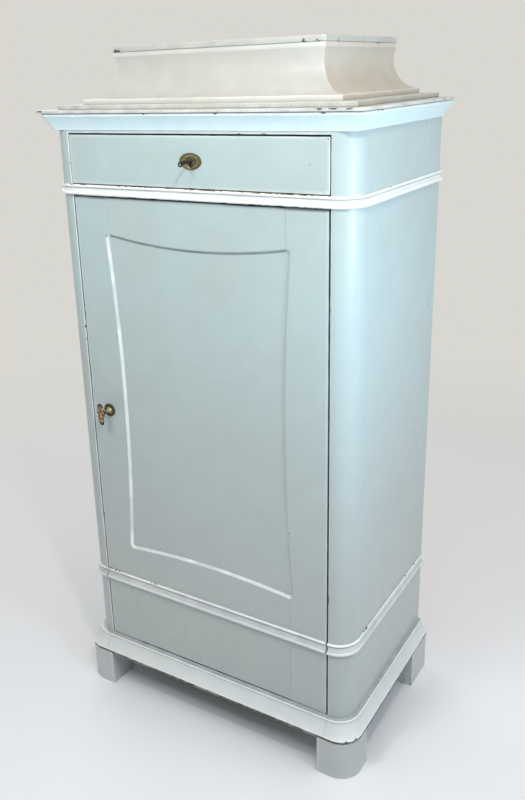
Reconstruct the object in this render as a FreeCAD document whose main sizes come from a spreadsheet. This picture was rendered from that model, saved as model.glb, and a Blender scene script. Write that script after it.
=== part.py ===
import FreeCAD, Part
import math
import os
import re
import Sketcher
from FreeCAD import Placement, Rotation, Vector

# A bonnetiere: a tall one-door painted cupboard with a drawer over the door and a coved hood.
# Millimetres, +Z up. The origin is on the floor under the middle of the cupboard's box, and the
# front faces -Y. Depths in this file are measured backwards from the carcass front plane, so
# every placement adds front_y to them. Widths are measured from the middle.

# Driving sizes: alias, value, what it is.
SIZES = [
    # overall
    ("carcass_width", 750, "carcass over the posts and sides"),
    ("carcass_depth", 465, "carcass front plane to the back"),
    ("handle_reach", 45, "door handle in front of the carcass front plane"),
    # stack of heights, from the floor up
    ("foot_height", 101, "block foot"),
    ("base_board_thick", 6, "thin board over the feet"),
    ("base_rail_height", 40, "rail under the door, standing on the base board"),
    ("door_height", 1181.5, "door"),
    ("divider_thick", 23.5, "board between door and drawer"),
    ("drawer_front_height", 108, "drawer front"),
    ("top_rail_height", 22.5, "rail over the drawer"),
    ("top_board_thick", 20, "board closing the carcass"),
    ("lip_thick", 6, "thin cornice board on the carcass top"),
    ("hood_base_thick", 9.5, "board under the hood"),
    ("hood_height", 107.5, "coved hood"),
    ("lid_thick", 12.5, "board on top of the hood"),
    # gaps
    ("door_gap", 1.5, "round the door and beside and under the drawer front"),
    ("drawer_top_gap", 2, "over the drawer front"),
    ("slide_clearance", 0.3, "between sliding pieces"),
    ("spin_clearance", 0.05, "round a pin or spindle in its bearing"),
    # posts, sides and back
    ("post_width", 52, "corner post, across the front"),
    ("post_depth", 60, "corner post, front to back"),
    ("post_radius", 50, "rounded outer corner of the post"),
    ("post_flat", 2, "least flat beside that round, where the post is narrow"),
    ("side_thick", 18, "side boards"),
    ("side_joint_depth", 187, "glue joint between the two boards of a side"),
    ("back_thick", 16, "back boards"),
    ("rail_thick", 22, "top and base rails"),
    ("floor_thick", 18, "cupboard floor"),
    # feet and base moulding
    ("foot_width", 91, "all four feet, across the front"),
    ("foot_front_depth", 88, "front feet"),
    ("foot_rear_depth", 104, "rear feet"),
    ("foot_setback", 1, "foot inside the base board's edge"),
    ("base_overhang_side", 26, "base board past the sides"),
    ("base_overhang_front", 31, "base board past the front"),
    ("base_radius", 55, "plan corner of the base board"),
    ("base_edge", 3, "upright edge at the foot of the moulding's slope"),
    ("base_slope_height", 28, "hollow slope of the moulding"),
    ("base_neck", 4.5, "projection at the top of the slope"),
    ("base_bead", 7, "height of the bead over the slope"),
    ("base_bead_out", 6, "projection of that bead"),
    # bands round the carcass
    ("band_height", 30, "band across the lower part of the door"),
    ("band_lift", 172.5, "that band over the door's bottom edge"),
    ("band_out", 8, "projection of its lower bead"),
    ("band_small_out", 5.5, "projection of its upper bead"),
    ("bead_large", 9, "height of the lower bead"),
    ("bead_small", 6, "height of the upper bead"),
    ("band_neck", 2.5, "projection between the beads"),
    # cornice and lip
    ("cornice_height", 35, "cove and fillet under the lip"),
    ("cornice_groove", 1, "open groove between fillet and lip"),
    ("cornice_fillet", 6, "upright fillet over the cove"),
    ("cornice_foot_out", 1.5, "projection at the foot of the cove"),
    ("cornice_out", 23, "projection of the fillet, front and right"),
    ("cornice_out_left", 12, "projection of the fillet on the left"),
    ("cornice_radius", 20, "plan corner of cornice and lip"),
    ("cornice_hollow", 2, "sagitta of the cove"),
    ("lip_out_front", 28, "lip past the front"),
    ("lip_out_right", 26, "lip past the right side"),
    ("lip_out_left", 20, "lip past the left side"),
    # hood
    ("hood_base_inset", 9, "hood's base board inside the carcass sides"),
    ("hood_base_depth", 21, "its front edge behind the carcass front"),
    ("hood_foot_inset", 46, "foot of the side coves inside the base board"),
    ("hood_foot_depth", 56, "foot of the front cove behind the carcass front"),
    ("hood_neck_inset", 63.5, "neck of the side coves inside their foot"),
    ("hood_neck_setback", 51, "neck of the front cove behind its foot"),
    ("hood_foot_height", 10.5, "upright foot of the cove"),
    ("hood_crown_height", 10, "upright band over the cove"),
    ("hood_crown_out", 4.5, "that band outside the neck"),
    ("hood_wall", 18, "cove moulding at the neck"),
    ("lid_overhang", 6, "lid past the neck, front and sides"),
    # door
    ("door_thick", 24, "stiles and rails"),
    ("stile_width", 95.5, "door stiles, to the shoulders of the rails"),
    ("tenon_length", 40, "rail tenons"),
    ("tenon_thick", 8, "rail tenons"),
    ("tenon_shoulder", 18, "tenon shoulder at the door's top and bottom"),
    ("recess_margin", 12, "corners of the panel recess past the rail shoulders"),
    ("recess_top", 80.5, "recess corner under the door's top edge"),
    ("recess_bottom", 284.5, "recess corner over the door's bottom edge"),
    ("recess_bow_side", 18, "inward bow of the recess sides"),
    ("recess_bow_top", 22, "downward bow of its top"),
    ("recess_bow_bottom", 14, "upward bow of its bottom"),
    ("recess_radius", 12, "its rounded corners"),
    ("bevel_width", 6.5, "bevel round the recess"),
    ("bevel_depth", 4, "bevel round the recess"),
    ("panel_setback", 4.5, "panel face behind the door face"),
    ("panel_thick", 10, "door panel"),
    ("panel_tongue", 9, "panel beyond the recess corners, in its groove"),
    # door pivots
    ("pivot_inset", 24, "pivot from the door's right edge"),
    ("pivot_depth", 6, "pivot behind the door face"),
    ("pivot_radius", 3, "hinge pin"),
    ("pivot_length", 12, "hinge pin, in the door and in the carcass"),
    ("swing_clearance", 0.3, "band end to the post as the door swings"),
    ("hinge_plate_length", 44, "plate let into the door's edge"),
    ("hinge_plate_width", 10, "plate let into the door's edge"),
    ("hinge_plate_thick", 3, "plate let into the door's edge"),
    # door handle and latch
    ("handle_backset", 53.5, "handle from the door's left edge"),
    ("handle_lift", 663.5, "handle over the door's bottom edge"),
    ("rosette_radius", 16, "round plate behind the handle"),
    ("rosette_floor", 2.5, "thickness at its dished middle"),
    ("rosette_rim", 5, "height of its rim"),
    ("neck_radius", 9, "trumpet neck at the door"),
    ("stem_radius", 4, "neck at the grip, and spindle"),
    ("grip_radius", 12, "grip at its widest"),
    ("grip_half", 29, "half length of the grip"),
    ("lock_width", 70, "door lock case, from the door's edge"),
    ("lock_height", 80, "door lock case"),
    ("lock_thick", 12, "door and drawer lock cases"),
    ("latch_travel", 10, "travel of the door latch"),
    ("latch_height", 14, "door latch"),
    ("bolt_thick", 6, "slot for latch and drawer bolt"),
    ("strike_thick", 1.5, "strike plate"),
    ("strike_height", 56, "strike plate"),
    # drawer
    ("drawer_front_thick", 20, "drawer front"),
    ("drawer_back_gap", 9, "behind the drawer"),
    ("drawer_side_gap", 3, "drawer sides inside the opening"),
    ("drawer_side_thick", 12, "drawer sides and back"),
    ("drawer_side_drop", 10, "drawer sides lower than the front"),
    ("drawer_rebate", 10, "drawer sides lapped into the front"),
    ("drawer_bottom_thick", 6, "drawer bottom"),
    ("drawer_bottom_lift", 9, "drawer bottom over the sides' lower edge"),
    ("drawer_groove", 6, "drawer bottom let into front and sides"),
    ("guide_height", 30, "drawer guides"),
    # drawer lock and key
    ("key_offset", 6, "key right of the middle"),
    ("key_lift", 55.5, "key over the drawer front's lower edge"),
    ("key_radius", 2.5, "key shaft"),
    ("key_reach", 44, "key in front of the carcass front plane"),
    ("key_bow_length", 15, "ring of the key, front to back"),
    ("key_bow_height", 12, "ring of the key"),
    ("key_bow_wire", 3.4, "ring of the key"),
    ("key_bit", 8.5, "bit below the key's axis"),
    ("key_bit_thick", 2.5, "bit"),
    ("bolt_travel", 8, "travel of the drawer bolt"),
    ("bolt_width", 16, "drawer bolt"),
    ("drawer_lock_width", 48, "drawer lock case"),
    ("escutcheon_width", 55, "oval plate over the keyhole"),
    ("escutcheon_height", 34, "oval plate over the keyhole"),
    ("escutcheon_thick", 2.5, "oval plate over the keyhole"),
    ("keyhole_radius", 3.2, "round part of the keyhole"),
    ("keyhole_slot", 3.4, "width of its slot"),
    ("keyhole_drop", 8.8, "slot below the key's axis"),
    # inside
    ("shelf_thick", 20, "shelves"),
    ("shelf_lower_lift", 414, "lower shelf over the cupboard floor"),
    ("shelf_upper_lift", 800, "upper shelf over the cupboard floor"),
    ("cleat_height", 20, "shelf cleats"),
    ("cleat_width", 19, "shelf cleats"),
    ("stop_width", 12, "door stop"),
    ("stop_gap", 0.5, "door stop behind the door"),
    ("stop_margin", 12, "door stop short of the opening's ends"),
]

# Sizes that follow from the driving ones: alias, formula.
DERIVED = [
    ("front_y", "(handle_reach - carcass_depth) / 2"),
    ("half", "carcass_width / 2"),
    ("inner", "half - side_thick"),
    ("opening", "half - post_width"),
    ("door_half", "opening - door_gap"),
    ("back_face", "carcass_depth - back_thick"),
    ("post_round", "min(post_radius; post_width - post_flat)"),
    ("base_level", "foot_height + base_board_thick"),
    ("floor_level", "base_level + base_rail_height"),
    ("door_bottom", "floor_level + door_gap"),
    ("door_top", "door_bottom + door_height"),
    ("divider_bottom", "door_top + door_gap"),
    ("divider_top", "divider_bottom + divider_thick"),
    ("drawer_bottom_edge", "divider_top + door_gap"),
    ("drawer_top_edge", "drawer_bottom_edge + drawer_front_height"),
    ("top_rail_level", "drawer_top_edge + drawer_top_gap"),
    ("top_board_level", "top_rail_level + top_rail_height"),
    ("lip_level", "top_board_level + top_board_thick"),
    ("hood_base_level", "lip_level + lip_thick"),
    ("hood_level", "hood_base_level + hood_base_thick"),
    ("lid_level", "hood_level + hood_height"),
    ("cornice_top", "lip_level - cornice_groove"),
    ("cornice_level", "cornice_top - cornice_height"),
    ("band_level", "door_bottom + band_lift"),
    ("hood_base_half", "half - hood_base_inset"),
    ("hood_foot_half", "hood_base_half - hood_foot_inset"),
    ("hood_neck_half", "hood_foot_half - hood_neck_inset"),
    ("hood_neck_depth", "hood_foot_depth + hood_neck_setback"),
    ("lid_half", "hood_neck_half + lid_overhang"),
    ("lid_depth", "hood_neck_depth - lid_overhang"),
    ("foot_outer", "half + base_overhang_side - foot_setback"),
    ("foot_front", "foot_setback - base_overhang_front"),
    ("pivot_x", "door_half - pivot_inset"),
    ("band_end", "pivot_x + sqrt((pivot_inset + door_gap - swing_clearance)^2 - (pivot_depth + band_out)^2)"),
    ("rail_shoulder", "door_half - stile_width"),
    ("recess_half", "rail_shoulder + recess_margin"),
    ("recess_top_level", "door_top - recess_top"),
    ("recess_bottom_level", "door_bottom + recess_bottom"),
    ("panel_top", "recess_top_level + panel_tongue"),
    ("panel_bottom", "recess_bottom_level - panel_tongue"),
    ("handle_x", "handle_backset - door_half"),
    ("handle_z", "door_bottom + handle_lift"),
    ("lock_face", "(door_thick - lock_thick) / 2"),
    ("bolt_face", "lock_face + (lock_thick - bolt_thick) / 2"),
    ("drawer_half", "opening - drawer_side_gap"),
    ("drawer_low", "divider_top + slide_clearance"),
    ("drawer_length", "back_face - drawer_back_gap"),
    ("drawer_side_height", "drawer_front_height - drawer_side_drop"),
    ("key_z", "drawer_bottom_edge + key_lift"),
    ("drawer_lock_face", "drawer_front_thick - lock_thick"),
    ("drawer_bolt_face", "drawer_lock_face + (lock_thick - bolt_thick) / 2"),
    ("key_chamber", "key_bit + 2 * slide_clearance"),
    ("shelf_lower_level", "floor_level + shelf_lower_lift"),
    ("shelf_upper_level", "floor_level + shelf_upper_lift"),
]

BACK_BOARD_COUNT = 4

doc = FreeCAD.newDocument("bonnetiere")
sheet = doc.addObject("Spreadsheet::Sheet", "sizes")
for row, (alias, number, note) in enumerate(SIZES, start=1):
    sheet.set(f"A{row}", note)
    sheet.set(f"B{row}", str(number))
    sheet.setAlias(f"B{row}", alias)
for row, (alias, formula) in enumerate(DERIVED, start=len(SIZES) + 1):
    sheet.set(f"B{row}", f"={formula}")
    sheet.setAlias(f"B{row}", alias)
doc.recompute()

ALIASES = {entry[0] for entry in SIZES + DERIVED}
SCRATCH_CELL = "D1"
NODES = []


def value(expression):
    """Number that an expression of sheet aliases has now."""
    sheet.set(SCRATCH_CELL, f"={expression}")
    sheet.recompute()
    return float(sheet.get(SCRATCH_CELL))


def bind(item, prop, expression):
    """Tie a property to the sheet: every alias in the expression gets the sheet's name."""
    def with_sheet(match):
        return f"sizes.{match.group()}" if match.group() in ALIASES else match.group()
    item.setExpression(prop, re.sub(r"[a-z_]+", with_sheet, str(expression)))


def place(item, x, y, z):
    """Tie an object's place to the sheet, with y measured back from the carcass front."""
    bind(item, "Placement.Base.x", x)
    bind(item, "Placement.Base.y", f"front_y + ({y})")
    bind(item, "Placement.Base.z", z)


def node(item, label):
    """Name a finished sub-part, which is written out at the end."""
    item.Label = label
    NODES.append(item)
    return item


def box(name, x, y, z):
    """Block between two widths, two depths and two heights."""
    block = doc.addObject("Part::Box", name)
    place(block, x[0], y[0], z[0])
    for prop, (low, high) in (("Length", x), ("Width", y), ("Height", z)):
        bind(block, prop, f"({high}) - ({low})")
    return block


def span(low, size):
    """Two ends of a stretch that starts at low and is size long."""
    return low, f"({low}) + ({size})"


def about(middle, size):
    """Two ends of a stretch of a size about its middle."""
    return f"({middle}) - ({size}) / 2", f"({middle}) + ({size}) / 2"


def rod(name, radius, x, y, z):
    """Round bar from front to back, between two depths."""
    bar = doc.addObject("Part::Cylinder", name)
    bar.Placement = Placement(Vector(), Rotation(Vector(1, 0, 0), -90))
    place(bar, x, y[0], z)
    bind(bar, "Radius", radius)
    bind(bar, "Height", f"({y[1]}) - ({y[0]})")
    return bar


def pin(name, radius, x, y, z):
    """Upright round bar, between two heights."""
    bar = doc.addObject("Part::Cylinder", name)
    place(bar, x, y, z[0])
    bind(bar, "Radius", radius)
    bind(bar, "Height", f"({z[1]}) - ({z[0]})")
    return bar


def fuse(name, *items):
    """Several shapes joined to one."""
    joined = doc.addObject("Part::MultiFuse", name)
    joined.Shapes = list(items)
    return joined


def cut(name, base, *tools):
    """A shape less one or more tools."""
    result = doc.addObject("Part::Cut", name)
    result.Base = base
    result.Tool = tools[0] if len(tools) == 1 else fuse(f"{name}_tools", *tools)
    return result


def common(name, base, tool):
    """What two shapes share."""
    result = doc.addObject("Part::Common", name)
    result.Base = base
    result.Tool = tool
    return result


def group(name, *items):
    """Several separate solids in one sub-part."""
    bundle = doc.addObject("Part::Compound", name)
    bundle.Links = list(items)
    return bundle


def mirrored(name, source):
    """A shape turned over to the other side of the middle."""
    other = doc.addObject("Part::Mirroring", name)
    other.Source = source
    other.Normal = Vector(1, 0, 0)
    return other


def fixed(name, shape):
    """A shape made here from the sheet's values, in its place behind the carcass front."""
    item = doc.addObject("Part::Feature", name)
    item.Shape = shape
    place(item, "0", "0", "0")
    return item


def body(name, x, y, z):
    """Empty part body with its origin at a bound place."""
    item = doc.addObject("PartDesign::Body", name)
    place(item, x, y, z)
    return item


def new_sketch(owner, name, role):
    """Sketch on one of the body's own origin planes."""
    sketch = owner.newObject("Sketcher::SketchObject", name)
    plane = [item for item in owner.Origin.OriginFeatures if item.Role == role]
    sketch.AttachmentSupport = (plane[0], [""])
    sketch.MapMode = "FlatFace"
    return sketch


def arc_between(start, end, radius):
    """Circular arc from start to end: a positive radius turns left, a negative one right."""
    chord = end - start
    rise = math.sqrt(max(radius ** 2 - chord.Length ** 2 / 4, 0))
    normal = Vector(-chord.y, chord.x, 0).normalize()
    centre = (start + end) / 2 + normal * (rise if radius > 0 else -rise)
    first, last = (start, end) if radius > 0 else (end, start)
    angles = [math.atan2(point.y - centre.y, point.x - centre.x) for point in (first, last)]
    return Part.ArcOfCircle(Part.Circle(centre, Vector(0, 0, 1), abs(radius)), *angles)


def draw(sketch, points, closed=True):
    """Outline through bound points (across, up, radius); a radius makes the next edge an arc."""
    ends = [Vector(value(point[0]), value(point[1]), 0) for point in points]
    edges = []
    count = len(points) if closed else len(points) - 1
    for index in range(count):
        start, end = ends[index], ends[(index + 1) % len(points)]
        bulge = points[index][2] if len(points[index]) > 2 else None
        radius = value(bulge) if bulge else None
        curve = arc_between(start, end, radius) if radius else Part.LineSegment(start, end)
        turned = bool(radius) and radius < 0
        edges.append((sketch.addGeometry(curve, False), 2 if turned else 1, 1 if turned else 2))
        if radius:
            limit = sketch.addConstraint(Sketcher.Constraint("Radius", edges[-1][0], abs(radius)))
            bind(sketch, f"Constraints[{limit}]", f"abs({bulge})")
    for index, point in enumerate(points):
        edge, first, last = edges[min(index, count - 1)]
        corner = first if index < count else last
        for kind, coordinate, number in (("DistanceX", point[0], ends[index].x),
                                         ("DistanceY", point[1], ends[index].y)):
            limit = sketch.addConstraint(Sketcher.Constraint(kind, -1, 1, edge, corner, number))
            bind(sketch, f"Constraints[{limit}]", coordinate)
        if 0 < index < count or (closed and index == 0):
            before = edges[index - 1]
            sketch.addConstraint(Sketcher.Constraint("Coincident", before[0], before[2], edge, corner))


def padded(name, place_xyz, points, length):
    """Plan outline on a body's floor plane, raised by a length."""
    item = body(name, *place_xyz)
    outline = new_sketch(item, f"{name}_plan", "XY_Plane")
    draw(outline, points)
    pad = item.newObject("PartDesign::Pad", f"{name}_pad")
    pad.Profile = outline
    bind(pad, "Length", length)
    return item


def turned(name, place_xyz, points, role):
    """Profile (radius, along) spun about the body's Y axis (XY_Plane) or Z axis (XZ_Plane)."""
    item = body(name, *place_xyz)
    profile = new_sketch(item, f"{name}_profile", role)
    draw(profile, points)
    spin = item.newObject("PartDesign::Revolution", f"{name}_spin")
    spin.Profile = profile
    spin.ReferenceAxis = (profile, ["V_Axis"])
    spin.Angle = 360
    return item


def plan_wire(out_right, out_left, out_front, radius, height):
    """Closed plan outline round the carcass: straight back, two rounded front corners."""
    right, left = value("half") + out_right, -value("half") - out_left
    back, front = value("carcass_depth"), -out_front
    slack = radius * (1 - math.sqrt(0.5))
    corners = [Vector(right, back, height), Vector(right, front + radius, height),
               Vector(right - slack, front + slack, height), Vector(right - radius, front, height),
               Vector(left + radius, front, height), Vector(left + slack, front + slack, height),
               Vector(left, front + radius, height), Vector(left, back, height)]
    return Part.Wire([
        Part.makeLine(corners[0], corners[1]),
        Part.Arc(corners[1], corners[2], corners[3]).toShape(),
        Part.makeLine(corners[3], corners[4]),
        Part.Arc(corners[4], corners[5], corners[6]).toShape(),
        Part.makeLine(corners[6], corners[7]),
        Part.makeLine(corners[7], corners[0])])


def carcass_prism():
    """Solid of the carcass's outer plan, which mouldings are cut back to."""
    face = Part.Face(plan_wire(0, 0, 0, value("post_round"), 0))
    return face.extrude(Vector(0, 0, value("lid_level")))


def moulding_ring(levels):
    """Moulding round three sides, ruled between plan outlines, less the carcass inside it."""
    wires = [plan_wire(*level) for level in levels]
    return Part.makeLoft(wires, True, True).cut(carcass_prism())


def prism(points, low, high):
    """Upright block over a plan polygon."""
    corners = [Vector(across, back, low) for across, back in points]
    return Part.Face(Part.makePolygon(corners + corners[:1])).extrude(Vector(0, 0, high - low))


# ---------------------------------------------------------------- feet and base

def make_feet():
    """Four block feet under the base board; the front pair have a rounded outer corner."""
    inner_x = "foot_outer - foot_width"
    front = padded("foot_front", ("0", "foot_front", "0"), [
        (inner_x, "0"), ("foot_outer - base_radius", "0", "base_radius"),
        ("foot_outer", "base_radius"), ("foot_outer", "foot_front_depth"),
        (inner_x, "foot_front_depth")], "foot_height")
    node(front, "foot_front_right")
    node(mirrored("foot_front_mirror", front), "foot_front_left")
    rear = box("foot_rear", (inner_x, "foot_outer"),
               ("carcass_depth - foot_rear_depth", "carcass_depth"), ("0", "foot_height"))
    node(rear, "foot_rear_right")
    node(mirrored("foot_rear_mirror", rear), "foot_rear_left")


def make_base():
    """Base board, base rail, cupboard floor and the moulding round them."""
    outline = (value("base_overhang_side"), value("base_overhang_side"),
               value("base_overhang_front"), value("base_radius"))
    board = Part.Face(plan_wire(*outline, value("foot_height")))
    node(fixed("base", board.extrude(Vector(0, 0, value("base_board_thick")))), "base_board")
    rail = box("rail_low", ("-opening", "opening"), ("0", "rail_thick"), ("base_level", "floor_level"))
    socket = pin("rail_socket", "pivot_radius", "pivot_x", "pivot_depth",
                 ("floor_level - pivot_length", "floor_level"))
    node(cut("rail_low_drilled", rail, socket), "base_rail")
    node(notched_board("floor", "rail_thick", ("floor_level - floor_thick", "floor_level")),
         "cupboard_floor")
    make_base_moulding()


def notched_board(name, front, heights):
    """Board from side to side of the carcass, notched round the two corner posts."""
    board = box(f"{name}_blank", ("-inner", "inner"), (front, "back_face"), heights)
    notch = box(f"{name}_notch", ("opening", "inner"), (front, "post_depth"), heights)
    return cut(name, board, notch, mirrored(f"{name}_notch_left", notch))


def make_base_moulding():
    """Hollow slope with a bead on top; the corner blocks are part of the side pieces."""
    steps = 6
    edge_z = value("base_level + base_edge")
    slope, neck = value("base_slope_height"), value("base_neck")
    side, front = value("base_overhang_side"), value("base_overhang_front")
    radius = value("base_radius")
    levels = [(side, side, front, radius, value("base_level")), (side, side, front, radius, edge_z)]
    for index in range(1, steps + 1):
        share = index / steps
        fall = (1 - share) ** 2
        levels.append((neck + (side - neck) * fall, neck + (side - neck) * fall,
                       neck + (front - neck) * fall, radius, edge_z + slope * share))
    bead, bead_out = value("base_bead"), value("base_bead_out")
    for index in range(1, steps):
        turn = math.pi * index / steps
        out = neck + (bead_out - neck) * math.sin(turn)
        rise = (1 - math.cos(turn)) / 2
        levels.append((out, out, out, radius, edge_z + slope + bead * rise))
    levels.append((neck, neck, neck, radius, edge_z + slope + bead))
    ring = fixed("base_ring", moulding_ring(levels))
    reach = "2 * base_overhang_front"
    middle = box("base_middle", ("-opening - base_edge", "opening + base_edge"),
                 (f"-({reach})", reach), ("foot_height", "floor_level"))
    node(common("base_moulding", ring, middle), "base_moulding_front")
    right = box("base_right", ("opening + base_edge", "2 * half"),
                (f"-({reach})", "carcass_depth"), ("foot_height", "floor_level"))
    node(common("base_moulding_r", ring, right), "base_moulding_right")
    left = mirrored("base_left", right)
    node(common("base_moulding_l", ring, left), "base_moulding_left")


# ---------------------------------------------------------------- carcass

def make_posts():
    """Corner posts with a quarter-round outer edge; the left one is mortised for the latch."""
    right = padded("post", ("0", "0", "base_level"), [
        ("opening", "0"), ("half - post_round", "0", "post_round"), ("half", "post_round"),
        ("half", "post_depth"), ("opening", "post_depth")], "top_board_level - base_level")
    node(right, "corner_post_right")
    strike = box("strike_recess", ("-opening - strike_thick", "-opening"),
                 ("lock_face", "lock_face + lock_thick"), about("handle_z", "strike_height"))
    mortise = box("latch_mortise", ("-opening - latch_travel - strike_thick", "-opening"),
                  span("bolt_face", "bolt_thick"), about("handle_z", "latch_height"))
    node(cut("post_left", mirrored("post_mirror", right), strike, mortise), "corner_post_left")
    node(cut("strike", box("strike_blank", ("-opening - strike_thick", "-opening"),
                           ("lock_face", "lock_face + lock_thick"),
                           about("handle_z", "strike_height")),
             mortise), "strike_plate")


def make_sides_and_back():
    """Two glued boards each side and upright boards across the back."""
    heights = ("base_level", "top_board_level")
    boards = [box("side_front", ("inner", "half"), ("post_depth", "side_joint_depth"), heights),
              box("side_rear", ("inner", "half"), ("side_joint_depth", "carcass_depth"), heights)]
    right = group("side", *boards)
    node(right, "side_panel_right")
    node(mirrored("side_mirror", right), "side_panel_left")
    width = f"2 * inner / {BACK_BOARD_COUNT}"
    back = [box(f"back_{index}", span(f"-inner + {index} * {width}", width),
                ("back_face", "carcass_depth"), heights) for index in range(BACK_BOARD_COUNT)]
    node(group("back", *back), "back_boards")


def make_carcass_top():
    """Divider under the drawer, rail over it and the board that closes the carcass."""
    socket = pin("divider_socket", "pivot_radius", "pivot_x", "pivot_depth",
                 span("divider_bottom", "pivot_length"))
    divider = notched_board("divider", "0", ("divider_bottom", "divider_top"))
    node(cut("divider_drilled", divider, socket), "divider_board")
    rail = box("rail_high", ("-opening", "opening"), ("0", "rail_thick"),
               ("top_rail_level", "top_board_level"))
    mortise = box("bolt_mortise", about("key_offset", "bolt_width + 4 * slide_clearance"),
                  ("drawer_bolt_face - slide_clearance",
                   "drawer_bolt_face + bolt_thick + slide_clearance"),
                  span("top_rail_level", "bolt_travel + drawer_top_gap"))
    node(cut("rail_high_mortised", rail, mortise), "top_rail")
    plan = Part.Face(plan_wire(0, 0, 0, value("post_round"), value("top_board_level")))
    node(fixed("top", plan.extrude(Vector(0, 0, value("top_board_thick")))), "carcass_top")


def make_hinge_pins():
    """Upright pins in the divider and the base rail that the door turns on."""
    top = pin("pin_top", "pivot_radius", "pivot_x", "pivot_depth",
              ("door_top - pivot_length", "divider_bottom + pivot_length"))
    low = pin("pin_low", "pivot_radius", "pivot_x", "pivot_depth",
              ("floor_level - pivot_length", "door_bottom + pivot_length"))
    node(group("pins", top, low), "hinge_pins")


# ---------------------------------------------------------------- bands, cornice and hood

def bead(foot, out, low, height):
    """Nearly half-round bead standing a given distance out, between two heights."""
    flat = f"{foot} + {out} - 0.377 * ({height})"
    return [(flat, low, f"0.52 * ({height})"), (flat, f"{low} + {height}")]


def band_profile(foot, height):
    """Large bead below, neck, small bead above, from the inner face outwards."""
    neck = f"{foot} + band_neck"
    return [(foot, "0"), *bead(foot, "band_out", "0", "bead_large"),
            (neck, "bead_large"), (neck, f"{height} - bead_small"),
            *bead(foot, "band_small_out", f"{height} - bead_small", "bead_small"), (foot, height)]


def make_bands():
    """Bands that wrap posts and sides, and the straight ones on the divider and the door."""
    for name, level, height in (("lower_band", "band_level", "band_height"),
                                ("upper_band", "divider_bottom", "divider_thick")):
        wrap = body(name, "0", "carcass_depth", level)
        path = new_sketch(wrap, f"{name}_path", "XY_Plane")
        draw(path, [("half", "0"), ("half", "post_round - carcass_depth", "-post_round"),
                    ("half - post_round", "-carcass_depth"), ("opening", "-carcass_depth")],
             closed=False)
        profile = new_sketch(wrap, f"{name}_profile", "XZ_Plane")
        draw(profile, band_profile("half", height))
        pipe = wrap.newObject("PartDesign::AdditivePipe", f"{name}_pipe")
        pipe.Profile = profile
        pipe.Spine = path
        node(wrap, f"{name}_right")
        node(mirrored(f"{name}_mirror", wrap), f"{name}_left")
    straight_band("upper_band_front", "-opening", "opening", "divider_bottom", "divider_thick")
    straight_band("door_band", "-door_half", "band_end", "band_level", "band_height")


def straight_band(label, left, right, level, height):
    """Length of band across the front, between two widths."""
    item = body(f"{label}_body", left, "0", level)
    profile = new_sketch(item, f"{label}_profile", "YZ_Plane")
    draw(profile, [(f"-({across})", up, *[f"-({radius})" for radius in arc])
                   for across, up, *arc in band_profile("0", height)])
    pad = item.newObject("PartDesign::Pad", f"{label}_pad")
    pad.Profile = profile
    bind(pad, "Length", f"({right}) - ({left})")
    node(item, label)


def make_cornice():
    """Hollow cornice in three mitred lengths, a groove, and the thin lip board over it."""
    steps = 6
    level, fillet = value("cornice_level"), value("cornice_fillet")
    rise = value("cornice_height") - fillet
    foot, hollow = value("cornice_foot_out"), value("cornice_hollow")
    outs = (value("cornice_out"), value("cornice_out_left"), value("cornice_out"))
    radius = value("cornice_radius")
    levels = []
    for index in range(steps + 1):
        share = index / steps
        sag = hollow * 4 * share * (1 - share)
        levels.append([foot + (out - foot) * share - sag * out / outs[0] for out in outs]
                      + [radius, level + rise * share])
    levels.append([*outs, radius, value("cornice_top")])
    ring = fixed("cornice_ring", moulding_ring(levels))
    half, inner_mitre = value("half"), value("post_width")
    reach = 2 * value("lip_out_front")
    low, high = level - fillet, value("lip_level")
    front = fixed("cornice_front_zone", prism([
        (-half - reach, -reach), (half + reach, -reach),
        (half - inner_mitre, inner_mitre), (inner_mitre - half, inner_mitre)], low, high))
    sides = cut("cornice_sides", ring, front)
    node(common("cornice_f", ring, front), "cornice_front")
    right = box("cornice_right_zone", ("0", "2 * half"), ("-half", "carcass_depth"),
                ("cornice_level", "lip_level"))
    node(common("cornice_r", sides, right), "cornice_right")
    node(common("cornice_l", sides, mirrored("cornice_left_zone", right)), "cornice_left")
    lip = Part.Face(plan_wire(value("lip_out_right"), value("lip_out_left"),
                              value("lip_out_front"), radius, high))
    node(fixed("lip", lip.extrude(Vector(0, 0, value("lip_thick")))), "cornice_board")


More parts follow.
